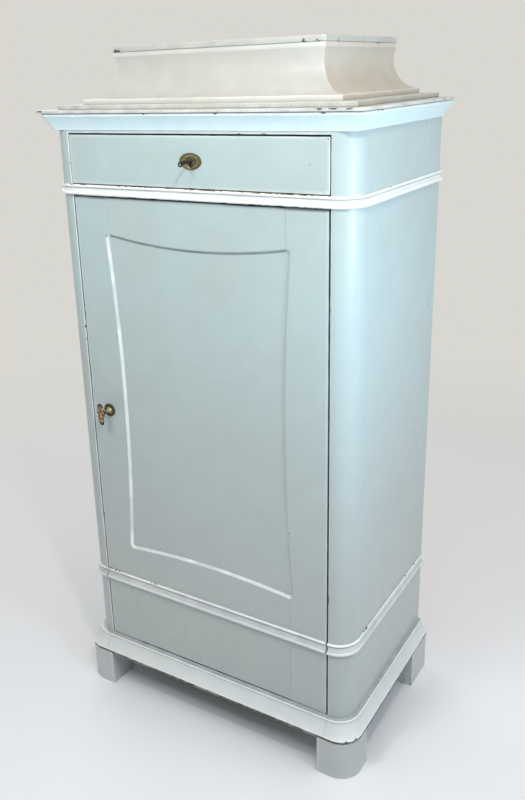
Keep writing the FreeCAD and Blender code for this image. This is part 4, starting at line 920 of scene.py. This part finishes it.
# A stile's ends, in millimetres: distance from the end, and how far the face drops back there.
END_STEPS, END_DROPS = np.array([(0.0, 1.4), (0.12, 0.85), (0.4, 0.4), (0.85, 0.12), (1.4, 0.0), (2.2, 0.0),
                                 (8.0, 0.0)]).T * MM


def three_point_circle(start, middle, end):
    """Centre and radius of the circle through three points."""
    (ax, ay), (bx, by), (cx, cy) = start, middle, end
    twice = 2 * (ax * (by - cy) + bx * (cy - ay) + cx * (ay - by))
    first, second, third = ax * ax + ay * ay, bx * bx + by * by, cx * cx + cy * cy
    x = (first * (by - cy) + second * (cy - ay) + third * (ay - by)) / twice
    y = (first * (cx - bx) + second * (ax - cx) + third * (bx - ax)) / twice
    return np.array([x, y]), math.hypot(ax - x, ay - y)


def round_centre(first, second, corner):
    """Centre of a corner's arc: the crossing, nearest to the corner, of two grown circles."""
    (a, ra), (b, rb) = first, second
    ra, rb = ra + RECESS_ROUND, rb + RECESS_ROUND
    gap = np.linalg.norm(b - a)
    along = (ra * ra - rb * rb + gap * gap) / (2 * gap)
    aside = math.sqrt(max(ra * ra - along * along, 0))
    way = (b - a) / gap
    normal = np.array([-way[1], way[0]])
    options = [a + way * along + normal * aside, a + way * along - normal * aside]
    return min(options, key=lambda point: np.linalg.norm(point - corner))


def around(circle, start, end, count, inside):
    """Points and recess-side normals along a circle; at a rounded corner the recess is inside."""
    centre, radius = circle
    first, last = (math.degrees(math.atan2(*(point - centre)[::-1])) for point in (start, end))
    last += 360 * round((first - last) / 360)
    points = arc_line(centre, radius, first, last, count)
    way = (points - centre) / radius
    return np.column_stack([points, -way if inside else way])


def recess_outline():
    """Outline of the panel recess, rows of (place, normal into the recess): its right side from
    the lower joint to the upper one, then its top and its bottom from the right to the left."""
    low, high = box_of("door_panel")
    half = high[0] - PANEL_TONGUE
    bottom, top = low[2] + PANEL_TONGUE, high[2] - PANEL_TONGUE
    side = three_point_circle((half, bottom), (half - BOW_SIDE, (bottom + top) / 2), (half, top))
    upper = three_point_circle((-half, top), (0, top - BOW_TOP), (half, top))
    lower = three_point_circle((-half, bottom), (0, bottom + BOW_BOTTOM), (half, bottom))
    touches, joints, rails = {}, {}, []
    for circle, sign, corner in ((upper, 1, (half, top)), (lower, -1, (half, bottom))):
        centre = round_centre(side, circle, np.array(corner))
        rounded = (centre, RECESS_ROUND)
        rise = math.sqrt(RECESS_ROUND ** 2 - (SHOULDER - centre[0]) ** 2)
        joint = np.array([SHOULDER, centre[1] + sign * rise])
        on_side, on_rail = (bow[0] + bow[1] * (centre - bow[0]) / np.linalg.norm(centre - bow[0])
                            for bow in (side, circle))
        touches[sign], joints[sign] = on_side, (rounded, joint)
        start = around(rounded, joint, on_rail, 4, True)
        across = around(circle, on_rail, on_rail * FLIP[:2], 112, False)
        rails.append(np.concatenate([start[:-1], across, (start * FLIP)[::-1][1:]]))
    (low_round, low_joint), (top_round, top_joint) = joints[-1], joints[1]
    right = np.concatenate([around(low_round, low_joint, touches[-1], 9, True)[:-1],
                            around(side, touches[-1], touches[1], 130, False)[:-1],
                            around(top_round, touches[1], top_joint, 9, True)])
    return right, rails[0], rails[1]


def member(node, inner, outer, span, drop, painted_highlight, painted_shade, seed, grain):
    """Door member between an inner edge and an outer one, station by station.

    inner rows are (place, normal, 1 at the recess or 0 at a joint), outer rows (place, normal); span is
    (axis, lowest, highest), which the recess edge keeps to; drop is how far the face falls back at the
    member's ends. The next two shares set how pale and how dark its bevel is: the paleness, beyond the worn
    front arris, is a painted highlight, strongest on the bevels that face the light, and the darkness is
    painted shade, on the bevel that faces down. Painted shade also darkens the door's head, under the band.
    """
    at_recess = inner[:, 4]
    axis, lowest, highest = span
    rows = []
    for depth, recess, joint, pale, chip, grime_and_shade in INNER_EDGE:
        out = (joint + (recess - joint) * at_recess) * MM
        light = pale * painted_highlight + 0.25 * (depth == 0.4)
        way = inner[:, 2:4] if recess > -9 else -outer[:, 2:4]
        spot = inner[:, :2] + way * out[:, None]
        spot[:, axis] = np.where(at_recess > 0, np.clip(spot[:, axis], lowest, highest), spot[:, axis])
        dirt_and_shade = max(grime_and_shade, painted_shade * (0.4 < depth < 5))
        rows.append((depth, spot, inner[:, 2:4], light * at_recess, chip * at_recess, dirt_and_shade * at_recess))
    for depth, out, *shares in OUTER_EDGE:
        rows.append((depth, outer[:, :2] + outer[:, 2:4] * out * MM, outer[:, 2:4],
                     *[share + 0 * drop for share in shares]))
    depths, flat, way, pale, chip, grime_and_shade = (np.array(column) for column in zip(*rows))
    depths = np.maximum(depths[:, None] * MM, drop)
    grid = np.stack([flat[..., 0], FACE_Y + depths, flat[..., 1]], axis=-1)
    inward = np.stack([-way[..., 0], 0 * depths, -way[..., 1]], axis=-1)
    pale = np.maximum(pale, 0.6 * smooth(drop, 0, 0.4 * MM))
    # Painted shade: the top few millimetres of the door darken under the band.
    grime_and_shade = np.maximum(grime_and_shade, 0.9 * smooth(grid[..., 2], DOOR_HEAD - 5.5 * MM, DOOR_HEAD - 2.5 * MM))
    piece = loft(f"{node}_board", grid, inward, pale, chip, grime_and_shade, seed, 0.14, 0.5 * MM, SAWN)
    place(piece, "door", node, "painted_wood", PAINT[grain], (0, 1, 0), PINE[grain])


def with_way(points, way, *more):
    """Points with one direction, and further columns, beside each."""
    return np.column_stack([points, np.tile(np.array(way, float), (len(points), 1))]
                           + [np.full(len(points), value) for value in more])


def upright(x, heights):
    """Points on an upright line."""
    return np.column_stack([np.full(len(heights), x), heights])


def make_stiles(right, floor, head, edge):
    """Stiles: joint, recess and joint again along the inner edge, a straight outer edge."""
    low_joint, top_joint = right[0, 1], right[-1, 1]
    lean, steps = 12 * MM, END_STEPS
    lower = np.concatenate([floor + steps, np.arange(floor + steps[-1] + STEP, low_joint, STEP), [low_joint]])
    upper = np.concatenate([head - steps, np.arange(head - steps[-1] - STEP, top_joint, -STEP), [top_joint]])
    upper = upper[::-1]
    run = np.concatenate([[0], np.cumsum(np.linalg.norm(np.diff(right[:, :2], axis=0), axis=1))])
    beside = low_joint - lean + (top_joint - low_joint + 2 * lean) * run / run[-1]
    inner = np.concatenate([with_way(upright(SHOULDER, lower), (-1, 0), 0),
                            np.column_stack([right, np.ones(len(right))]),
                            with_way(upright(SHOULDER, upper), (-1, 0), 0)])
    below = floor + (lower - floor) * (low_joint - lean - floor) / (low_joint - floor)
    above = head - (head - upper) * (head - top_joint - lean) / (head - top_joint)
    outer_z = np.concatenate([below, beside, above])
    outer = with_way(upright(edge, outer_z), (1, 0))
    drop = np.zeros(len(inner))
    drop[:len(steps)], drop[-len(steps):] = END_DROPS, END_DROPS[::-1]
    # The left stile's bevel faces the light and is made pale, the right one's hardly: a painted highlight.
    for side, name, painted_highlight in ((1, "right", 0.15), (-1, "left", 0.85)):
        turn = FLIP if side < 0 else np.ones(4)
        member(f"door_stile_{name}", inner * [*turn, 1], outer * turn, (1, low_joint, top_joint), drop,
               painted_highlight, 0.0, 121 + side, "z")


def make_door():
    """Stiles and rails round the bowed recess, and the flat panel behind it."""
    right, top, bottom = recess_outline()
    low, high = box_of("door_stile_right")
    make_stiles(right, low[2], high[2], high[0])
    end = SHOULDER - JOINT_GAP
    # The bottom rail's bevel faces up and is made pale, a painted highlight; the top rail's faces down and is
    # darkened, painted shade.
    for name, line, level, way, painted_highlight, painted_shade in (("top", top, high[2], 1, 0.0, 0.55),
                                                   ("bottom", bottom, low[2], -1, 0.8, 0.0)):
        inner = np.column_stack([line * [end / SHOULDER, 1, 1, 1], np.ones(len(line))])
        outer = with_way(np.column_stack([inner[:, 0], np.full(len(line), level)]), (0, way))
        member(f"door_rail_{name}", inner, outer, (0, -end, end), np.zeros(len(line)), painted_highlight, painted_shade,
               125 + way, "x")
    piece = board("door_panel_board", *box_of("door_panel"), axis="y", arris=1.0 * MM, seed=129, share=0.0,
                  pale=0.0)
    place(piece, "door", "door_panel", "painted_wood", PAINT["z"], (0, 1, 0), PINE["z"])


def make_drawer_front():
    """Drawer front with worn arrises."""
    low, high = box_of("drawer_front")
    gap, top_gap, corner = 0.3 * MM, 1.3 * MM, 1.5 * MM
    outline = rectangle(low[[0, 2]] + gap, high[[0, 2]] - [gap, top_gap], [corner] * 4)
    # Behind the front arris the edges darken for a few millimetres: painted shade in the gap round the
    # drawer.
    piece = slab("drawer_front_board", outline, arris_layers(low[1], high[1], 1.4 * MM), "y", 131, 0.12, 0.55,
                 grime_and_shade=None)
    place(piece, "drawer", "drawer_front", "painted_wood", PAINT["x"], (0, 1, 0), PINE["x"])


# ---------------------------------------------------------------- brass, bronze and steel

# Rows of the oval plate: share of the way from the keyhole's outline to the oval, or -1 for the middle of the
# hole; height as a share of the plate's; grime and shade. They run from the floor of the hole, a dark sheet
# of painted shade where the hole would show the drawer's paint, over the dish and the half-round rim, and
# close on the back.
OVAL_ROWS = [(-1, 0.04, 1.0), (0.0, 0.04, 1.0), (0.0, 0.2, 1.0), (0.03, 0.25, 0.9), (0.3, 0.2, 0.75),
             (0.45, 0.26, 0.7), (0.5, 0.34, 0.1), (0.6, 0.44, 0.0), (0.7, 0.5, 0.0), (0.745, 0.36, 1.0),
             (0.79, 0.5, 1.0), (0.84, 0.86, 0.5), (0.89, 1.0, 0.45), (0.94, 0.88, 0.7), (0.98, 0.55, 1.0),
             (1.0, 0.3, 1.0), (1.0, 0.0, 1.0), (-1, 0.0, 1.0)]

# Key shaft, from the ring to the bit: radius and depth in millimetres, grime.
SHAFT = [(0, -0.4, 0.4), (2.2, 0, 0.4), (3.3, 1.0, 0.4), (3.6, 2.2, 0.4), (2.8, 3.4, 0.4), (2.5, 4.4, 0.8),
         (3.5, 5.2, 0.2), (4.4, 6.2, 0.2), (4.4, 7.4, 0.2), (3.4, 8.4, 0.8), (2.7, 9.6, 0.8), (2.5, 12, 0.5),
         (2.5, 24, 0.5), (3.1, 24.6, 0.5), (3.1, 26.2, 0.5), (2.5, 26.8, 0.5)]

# Rosette: radius and height as shares of the plate's, grime.
ROSETTE = [(0, 0, 1), (0.97, 0, 1), (1.0, 0.12, 1), (1.0, 0.45, 1), (0.975, 0.75, 1), (0.93, 0.95, 0.85),
           (0.87, 1.0, 0.8), (0.81, 0.92, 0.9), (0.77, 0.74, 1), (0.74, 0.6, 1), (0.7, 0.62, 0.7),
           (0.55, 0.5, 0.3), (0.5, 0.42, 0.8), (0.47, 0.5, 0.3), (0.0, 0.5, 0.3)]

# Handle's neck: radius and depth behind the door's face in millimetres, grime.
NECK = [(3.9, 1.0, 0), (4.2, -2.4, 1.0), (9.0, -2.6, 0.9), (9.2, -4.0, 0.2), (8.2, -5.6, 0), (6.6, -8, 0),
        (5.4, -11, 0), (4.6, -15, 0), (4.1, -19, 0.1), (4.3, -22, 0.5), (5.4, -23.4, 0.3), (5.4, -25, 0.7),
        (4.0, -26.4, 0.9), (0, -27, 0.9)]

# Strands of the cast grip, each a path (across, in front of the grip's middle, up) and its radii,
# in millimetres: two long scrolls that cross at the middle, with curled leaves and pointed tips.
STRANDS = [
    ([(3.0, 0, -27.5), (6.6, 1, -21), (6.8, 2, -14), (4.5, 3.5, -7), (1.0, 5, 0), (-3.5, 4.5, 7),
      (-6.0, 3, 13), (-5.4, 1.5, 19), (-1.6, 0.5, 24), (1.0, 0, 28)],
     [1.0, 1.8, 2.2, 2.6, 3.2, 2.9, 2.5, 2.2, 1.9, 0.9]),
    ([(2.6, 0, -28.0), (-2.2, 0, -25), (-6.4, 0.5, -19), (-7.0, 1.5, -12), (-5.0, 2, -5), (-0.5, 0, 1),
      (4.4, 1, 7), (6.2, 1, 13), (5.0, 0.5, 19), (1.4, 0, 25.5)],
     [1.1, 1.6, 1.9, 2.3, 2.9, 3.4, 2.8, 2.4, 2.0, 1.2]),
    ([(-6.0, 1, 11), (-8.6, 0.5, 15), (-9.9, 0, 20), (-8.4, 0, 23.5), (-6.4, 0, 21.5)],
     [2.2, 1.9, 1.5, 1.3, 0.8]),
    ([(-5.5, 2, -4), (-8.6, 1.5, -8), (-9.6, 1, -13), (-7.8, 1, -16), (-5.9, 1, -14)],
     [2.3, 2.0, 1.7, 1.4, 0.8]),
    ([(5.0, 1, 6), (8.0, 1, 3), (8.6, 0.5, -2), (6.6, 0.5, -4.4), (5.0, 0.5, -2.4)],
     [2.0, 1.8, 1.5, 1.2, 0.7]),
]


def make_escutcheon():
    """Oval plate, dished inside a raised rim, with its keyhole: rows between the hole's outline
    and the oval."""
    low, high = box_of("drawer_escutcheon")
    middle, half = (low + high) / 2, (high - low) / 2
    turn = round_angles(96)
    across, down = np.sin(turn), -np.cos(turn)
    bore, slot_half, slot_end, tiny = 3.9 * MM, 2.2 * MM, 9.2 * MM, 1e-6
    slot = np.minimum(slot_half / np.maximum(np.abs(across), tiny), slot_end / np.maximum(-down, tiny))
    hole = np.maximum(bore, np.where(down < 0, slot, 0))
    inner = np.stack([hole * across, hole * down])
    outer = np.stack([half[0] * across, half[2] * down])
    grid = []
    for share, rise, _ in OVAL_ROWS:
        flat = inner + (outer - inner) * share if share >= 0 else inner * 0
        face = np.full(len(turn), high[1] - rise * (high[1] - low[1]))
        grid.append(np.stack([middle[0] + flat[0], face, middle[2] + flat[1]], axis=-1))
    piece = shell("drawer_escutcheon_plate", np.array(grid), np.array(OVAL_ROWS)[:, 2:])
    place(piece, "drawer", "drawer_escutcheon", "aged_brass", BRASS)


def make_key():
    """Key: turned shaft with collars, its bit, and a ring: a round wire along an upright oval."""
    low, high = box_of("drawer_key")
    centre = np.array([(low[0] + high[0]) / 2, 0.0, high[2] - 6 * MM])
    half_y, half_z, wire, hang = 7.5 * MM, 6 * MM, 1.7 * MM, 2.5 * MM
    shaft = [(radius * MM, low[1] + 2 * half_y + depth * MM, grime_and_shade) for radius, depth, grime_and_shade in SHAFT]
    shaft += [(2.45 * MM, high[1] - 0.4 * MM, 0.5), (2.1 * MM, high[1], 0.5), (0, high[1], 0.5)]
    barrel = turned("key_barrel", shaft, centre, 28)
    turn, angle = round_angles(48)[:, None], round_angles(12)
    reach_y, reach_z = half_y - wire + wire * np.cos(angle), half_z - wire + wire * np.cos(angle)
    grid = np.stack([centre[0] + wire * np.sin(angle) + 0 * turn, low[1] + half_y + reach_y * np.cos(turn),
                     centre[2] - hang + reach_z * np.sin(turn)], axis=-1)
    ring = close_mesh("key_ring", grid, quads(48, 12, True, True), 0, 0, 0.3, METAL)
    bit = board("key_bit", (centre[0] - 1.2 * MM, high[1] - 5.2 * MM, low[2]),
                (centre[0] + 1.2 * MM, high[1] - 0.2 * MM, centre[2]), arris=0.3 * MM, share=0.0, pale=0.0)
    place(joined("drawer_key_forged", [barrel, ring, bit]), "key", "drawer_key", "dark_steel", STEEL)


def make_rosette():
    """Round plate behind the handle: a rolled rim, dark where it meets the door, and a dished
    middle with a turned line."""
    low, high = box_of("door_rosette")
    radius, deep = (high[0] - low[0]) / 2, high[1] - low[1]
    rows = [(share * radius, high[1] - rise * deep, grime_and_shade) for share, rise, grime_and_shade in ROSETTE]
    plate = turned("door_rosette_plate", rows, (low + high) / 2, 64)
    place(plate, "door", "door_rosette", "aged_brass", BRASS)


def curve_through(points, count):
    """Smooth path through points: a Catmull-Rom spline, cubic between each pair."""
    points = np.concatenate([[2 * points[0] - points[1]], points, [2 * points[-1] - points[-2]]])
    share = np.linspace(0, len(points) - 3 - 1e-6, count)
    index = share.astype(int)
    t = (share - index)[:, None]
    p0, p1, p2, p3 = (points[index + step] for step in range(4))
    return 0.5 * (2 * p1 + (p2 - p0) * t + (2 * p0 - 5 * p1 + 4 * p2 - p3) * t ** 2
                  + (3 * p1 - p0 - 3 * p2 + p3) * t ** 3)


def make_handle():
    """Turning handle: a trumpet neck and a cast grip of crossing scrolls round a boss.

    A strand's thickness swells and shrinks as a sine along its path, and the boss is a ball drawn
    out upwards, whose radius has five lobes that twist round it.
    """
    low, high = box_of("door_handle")
    centre = (low + high) / 2
    neck = [(0, high[1], 0), (3.9 * MM, high[1], 0)]
    neck += [(radius * MM, FACE_Y + behind * MM, grime_and_shade) for radius, behind, grime_and_shade in NECK]
    place(turned("door_handle_neck", neck, centre, 40), "handle", "door_handle", "gilt_bronze", BRASS)
    grip_depth, narrow = 11.5 * MM, 0.8
    middle = np.array([centre[0], low[1] + grip_depth, centre[2]])
    count, sides, tip, flatten = 44, 12, 29 * MM, 0.9
    share = np.linspace(0, 1, count)
    behind = np.where(np.sin(round_angles(sides)) > 0.3, 0.6, 0)
    pieces = []
    for index, (path, radii) in enumerate(STRANDS):
        line = curve_through(np.array(path) * [narrow, -1, 1], count) * MM + middle
        thick = np.interp(share, np.linspace(0, 1, len(radii)), radii) * MM
        thick *= 1.42 + 0.16 * np.sin(share * 44)
        thick[[0, -1]] = 0
        far = np.abs(line[:, 2:] - centre[2]) / tip
        grime_and_shade = np.maximum(0.35 + 0.65 * smooth(far, 0.5, 0.85), behind)
        pieces.append(shell(f"grip_strand_{index}", tube(line, thick, sides, flatten), grime_and_shade))
    turn = np.linspace(-math.pi / 2, math.pi / 2, 22)[:, None]
    angle = round_angles(28)
    swell = 1 + 0.1 * np.cos(5 * angle + 6 * turn)
    reach, rise = 6.4 * MM * np.cos(turn) * swell, 13 * MM * np.sin(turn)
    grid = np.stack([centre[0] + reach * np.cos(angle), middle[1] + 2 * MM + 1.2 * reach * np.sin(angle),
                     centre[2] + rise + 0 * swell], axis=-1)
    pieces.append(shell("grip_boss", grid, 0.35))
    place(joined("door_handle_grip", pieces), "handle", "door_handle", "gilt_bronze", BRONZE)


# ---------------------------------------------------------------- pieces that keep their solids

SHOWN_AS_MADE = [
    (PINE["x"], ["cupboard_floor", "carcass_top", "divider_board", "hood_back", "shelf_upper", "shelf_lower",
                 "drawer_back", "drawer_bottom"]),
    (PINE["y"], ["drawer_guides", "shelf_cleats", "drawer_side_left", "drawer_side_right"]),
    (PINE["z"], ["door_stop"]),
    (STEEL, ["hinge_pins", "hinge_plates", "strike_plate", "door_lock", "door_latch", "drawer_lock",
             "drawer_bolt"])]


def dress_solids():
    """Finish on the solid pieces that are shown as they are."""
    for material, nodes in SHOWN_AS_MADE:
        for node in nodes:
            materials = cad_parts[node].data.materials
            materials.clear()
            materials.append(material)


# ---------------------------------------------------------------- stage, lamps and camera

BACKDROP = "#D9D7D1"                    # pale studio surround as the camera sees it
GLOW = ((0.6, 1.5, 0, 0.3), (1.5, 3.0, 0, 0.7))     # metres from the middle; share of glow gained


def seen_share(tree):
    """1 for rays that show the stage directly or in a gloss or glass, 0 for those that light."""
    rays = add(tree, "LightPath")
    seen = rays["Is Camera Ray"]
    for kind in ("Is Glossy Ray", "Is Transmission Ray"):
        seen = add(tree, "Math", {0: seen, 1: rays[kind]}, operation="MAXIMUM")[0]
    return seen


def make_stage():
    """Pale floor that keeps the shadow and melts into the surround some metres away."""
    reach = 16.0
    mesh = bpy.data.meshes.new("studio_floor")
    mesh.from_pydata([(-reach, -reach, 0), (reach, -reach, 0), (reach, reach, 0), (-reach, reach, 0)], [],
                     [(0, 1, 2, 3)])
    material, tree, shader = new_material("studio_paper")
    shader.inputs["Base Color"].default_value = linear("#E8EAEE")
    shader.inputs["Roughness"].default_value = 0.95
    away = add(tree, "VectorMath", {0: add(tree, "TexCoord")["Object"]}, operation="LENGTH")["Value"]
    near, far = (add(tree, "MapRange", dict(enumerate((away, *row))), interpolation_type="SMOOTHSTEP")[0]
                 for row in GLOW)
    share = add(tree, "Math", {0: near, 1: far}, operation="ADD")[0]
    share = add(tree, "Math", {0: share, 1: seen_share(tree)}, operation="MULTIPLY")[0]
    glow = add(tree, "Emission", {"Color": linear(BACKDROP), "Strength": 1.0})[0]
    paper = add(tree, "MixShader", {0: share, 1: shader.outputs[0], 2: glow})[0]
    tree.links.new(paper, tree.nodes["Material Output"].inputs["Surface"])
    mesh.materials.append(material)
    in_scene("studio_floor", mesh)


def make_world():
    """Even pale surround; as light it is weaker than it looks, most of all near the horizon."""
    world = bpy.data.worlds.new("studio")
    bpy.context.scene.world = world
    world.use_nodes = True
    tree = world.node_tree
    seen = seen_share(tree)
    rise = add(tree, "SeparateXYZ", {"Vector": add(tree, "TexCoord")["Generated"]})["Z"]
    light = add(tree, "MapRange", dict(enumerate((rise, 0.2, 0.9, 0.05, 1.12))),
                interpolation_type="SMOOTHSTEP")[0]
    colour = add(tree, "Mix", {0: seen, 6: linear("#E2E0DD"), 7: linear(BACKDROP)}, data_type="RGBA")[2]
    strength = add(tree, "Mix", {0: seen, 2: light, 3: 1.0}, data_type="FLOAT")[0]
    background = tree.nodes["Background"].inputs
    tree.links.new(colour, background["Color"])
    tree.links.new(strength, background["Strength"])


# Lamps: name, width in metres, watts, colour, place, target. A key lamp high at the right front,
# a cool window beside the post, a lamp over the front, a soft ceiling, and broad fills for the
# right side and for the left side and the back.
LAMPS = [("key_lamp", 0.12, 10, "#FFF3E4", (0.86, -1.01, 2.29), (0.0, -0.1, 1.2)),
         ("window_lamp", 0.25, 5.9, "#CDEBFF", (1.1, -0.5, 1.22), (0.3, -0.1, 1.2)),
         ("front_lamp", 0.4, 9.4, "#F6FCFF", (-0.1, -1.31, 2.03), (0.0, -0.2, 1.2)),
         ("ceiling", 2.6, 8, "#FFFAF4", (0.0, -0.4, 3.5), (0.0, 0.0, 1.5)),
         ("right_fill", 1.6, 10.5, "#FAFCFF", (2.5, 0.3, 1.6), (0.3, 0.0, 0.6)),
         ("back_fill", 1.6, 13, "#FAFCFF", (-2.2, 1.9, 2.2), (0.0, 0.0, 1.0))]


def make_lamps():
    """Soft square lamps, each aimed at a point and hidden from the camera."""
    for name, size, power, colour, spot, target in LAMPS:
        data = bpy.data.lights.new(name, "AREA")
        data.shape = "RECTANGLE"
        data.size, data.size_y = size, size
        data.energy = power
        data.color = linear(colour)[:3]
        item = in_scene(name, data)
        item.location = spot
        item.rotation_euler = (Vector(target) - Vector(spot)).to_track_quat("-Z", "Y").to_euler()
        item.visible_camera = False


def make_camera():
    """Camera a little below the cupboard's top, to the right of its front, with a slight roll."""
    azimuth, elevation, roll = (math.radians(angle) for angle in (32.704, 19.229, -2.03))
    back = Vector((math.sin(azimuth) * math.cos(elevation), -math.cos(azimuth) * math.cos(elevation),
                   math.sin(elevation)))
    right = Vector((math.cos(azimuth), math.sin(azimuth), 0))
    up = back.cross(right)
    turned_right = right * math.cos(roll) + up * math.sin(roll)
    turned_up = up * math.cos(roll) - right * math.sin(roll)
    width, height = 525, 800
    focal_pixels, centre_x, centre_y = 841.85, 228.51, 368.30
    data = bpy.data.cameras.new("camera")
    data.sensor_width = 36
    data.lens = focal_pixels * data.sensor_width / height
    data.shift_x = (width / 2 - centre_x) / height
    data.shift_y = (centre_y - height / 2) / height
    camera = in_scene("camera", data)
    turned_frame = Matrix((turned_right, turned_up, back)).transposed().to_4x4()
    spot = (1.0156, -1.4557 + FACE_Y, 1.5776)
    camera.matrix_world = Matrix.Translation(spot) @ turned_frame
    bpy.context.scene.camera = camera


for make in (make_feet, make_base_board, make_base_moulding, make_posts, make_sides, make_back, make_rails,
             make_bands, make_cornice, make_coves, make_hood_boards, make_door, make_drawer_front,
             make_escutcheon, make_key, make_rosette, make_handle, dress_solids, make_stage, make_world,
             make_lamps, make_camera):
    make()
bpy.context.scene.view_settings.view_transform = "Standard"
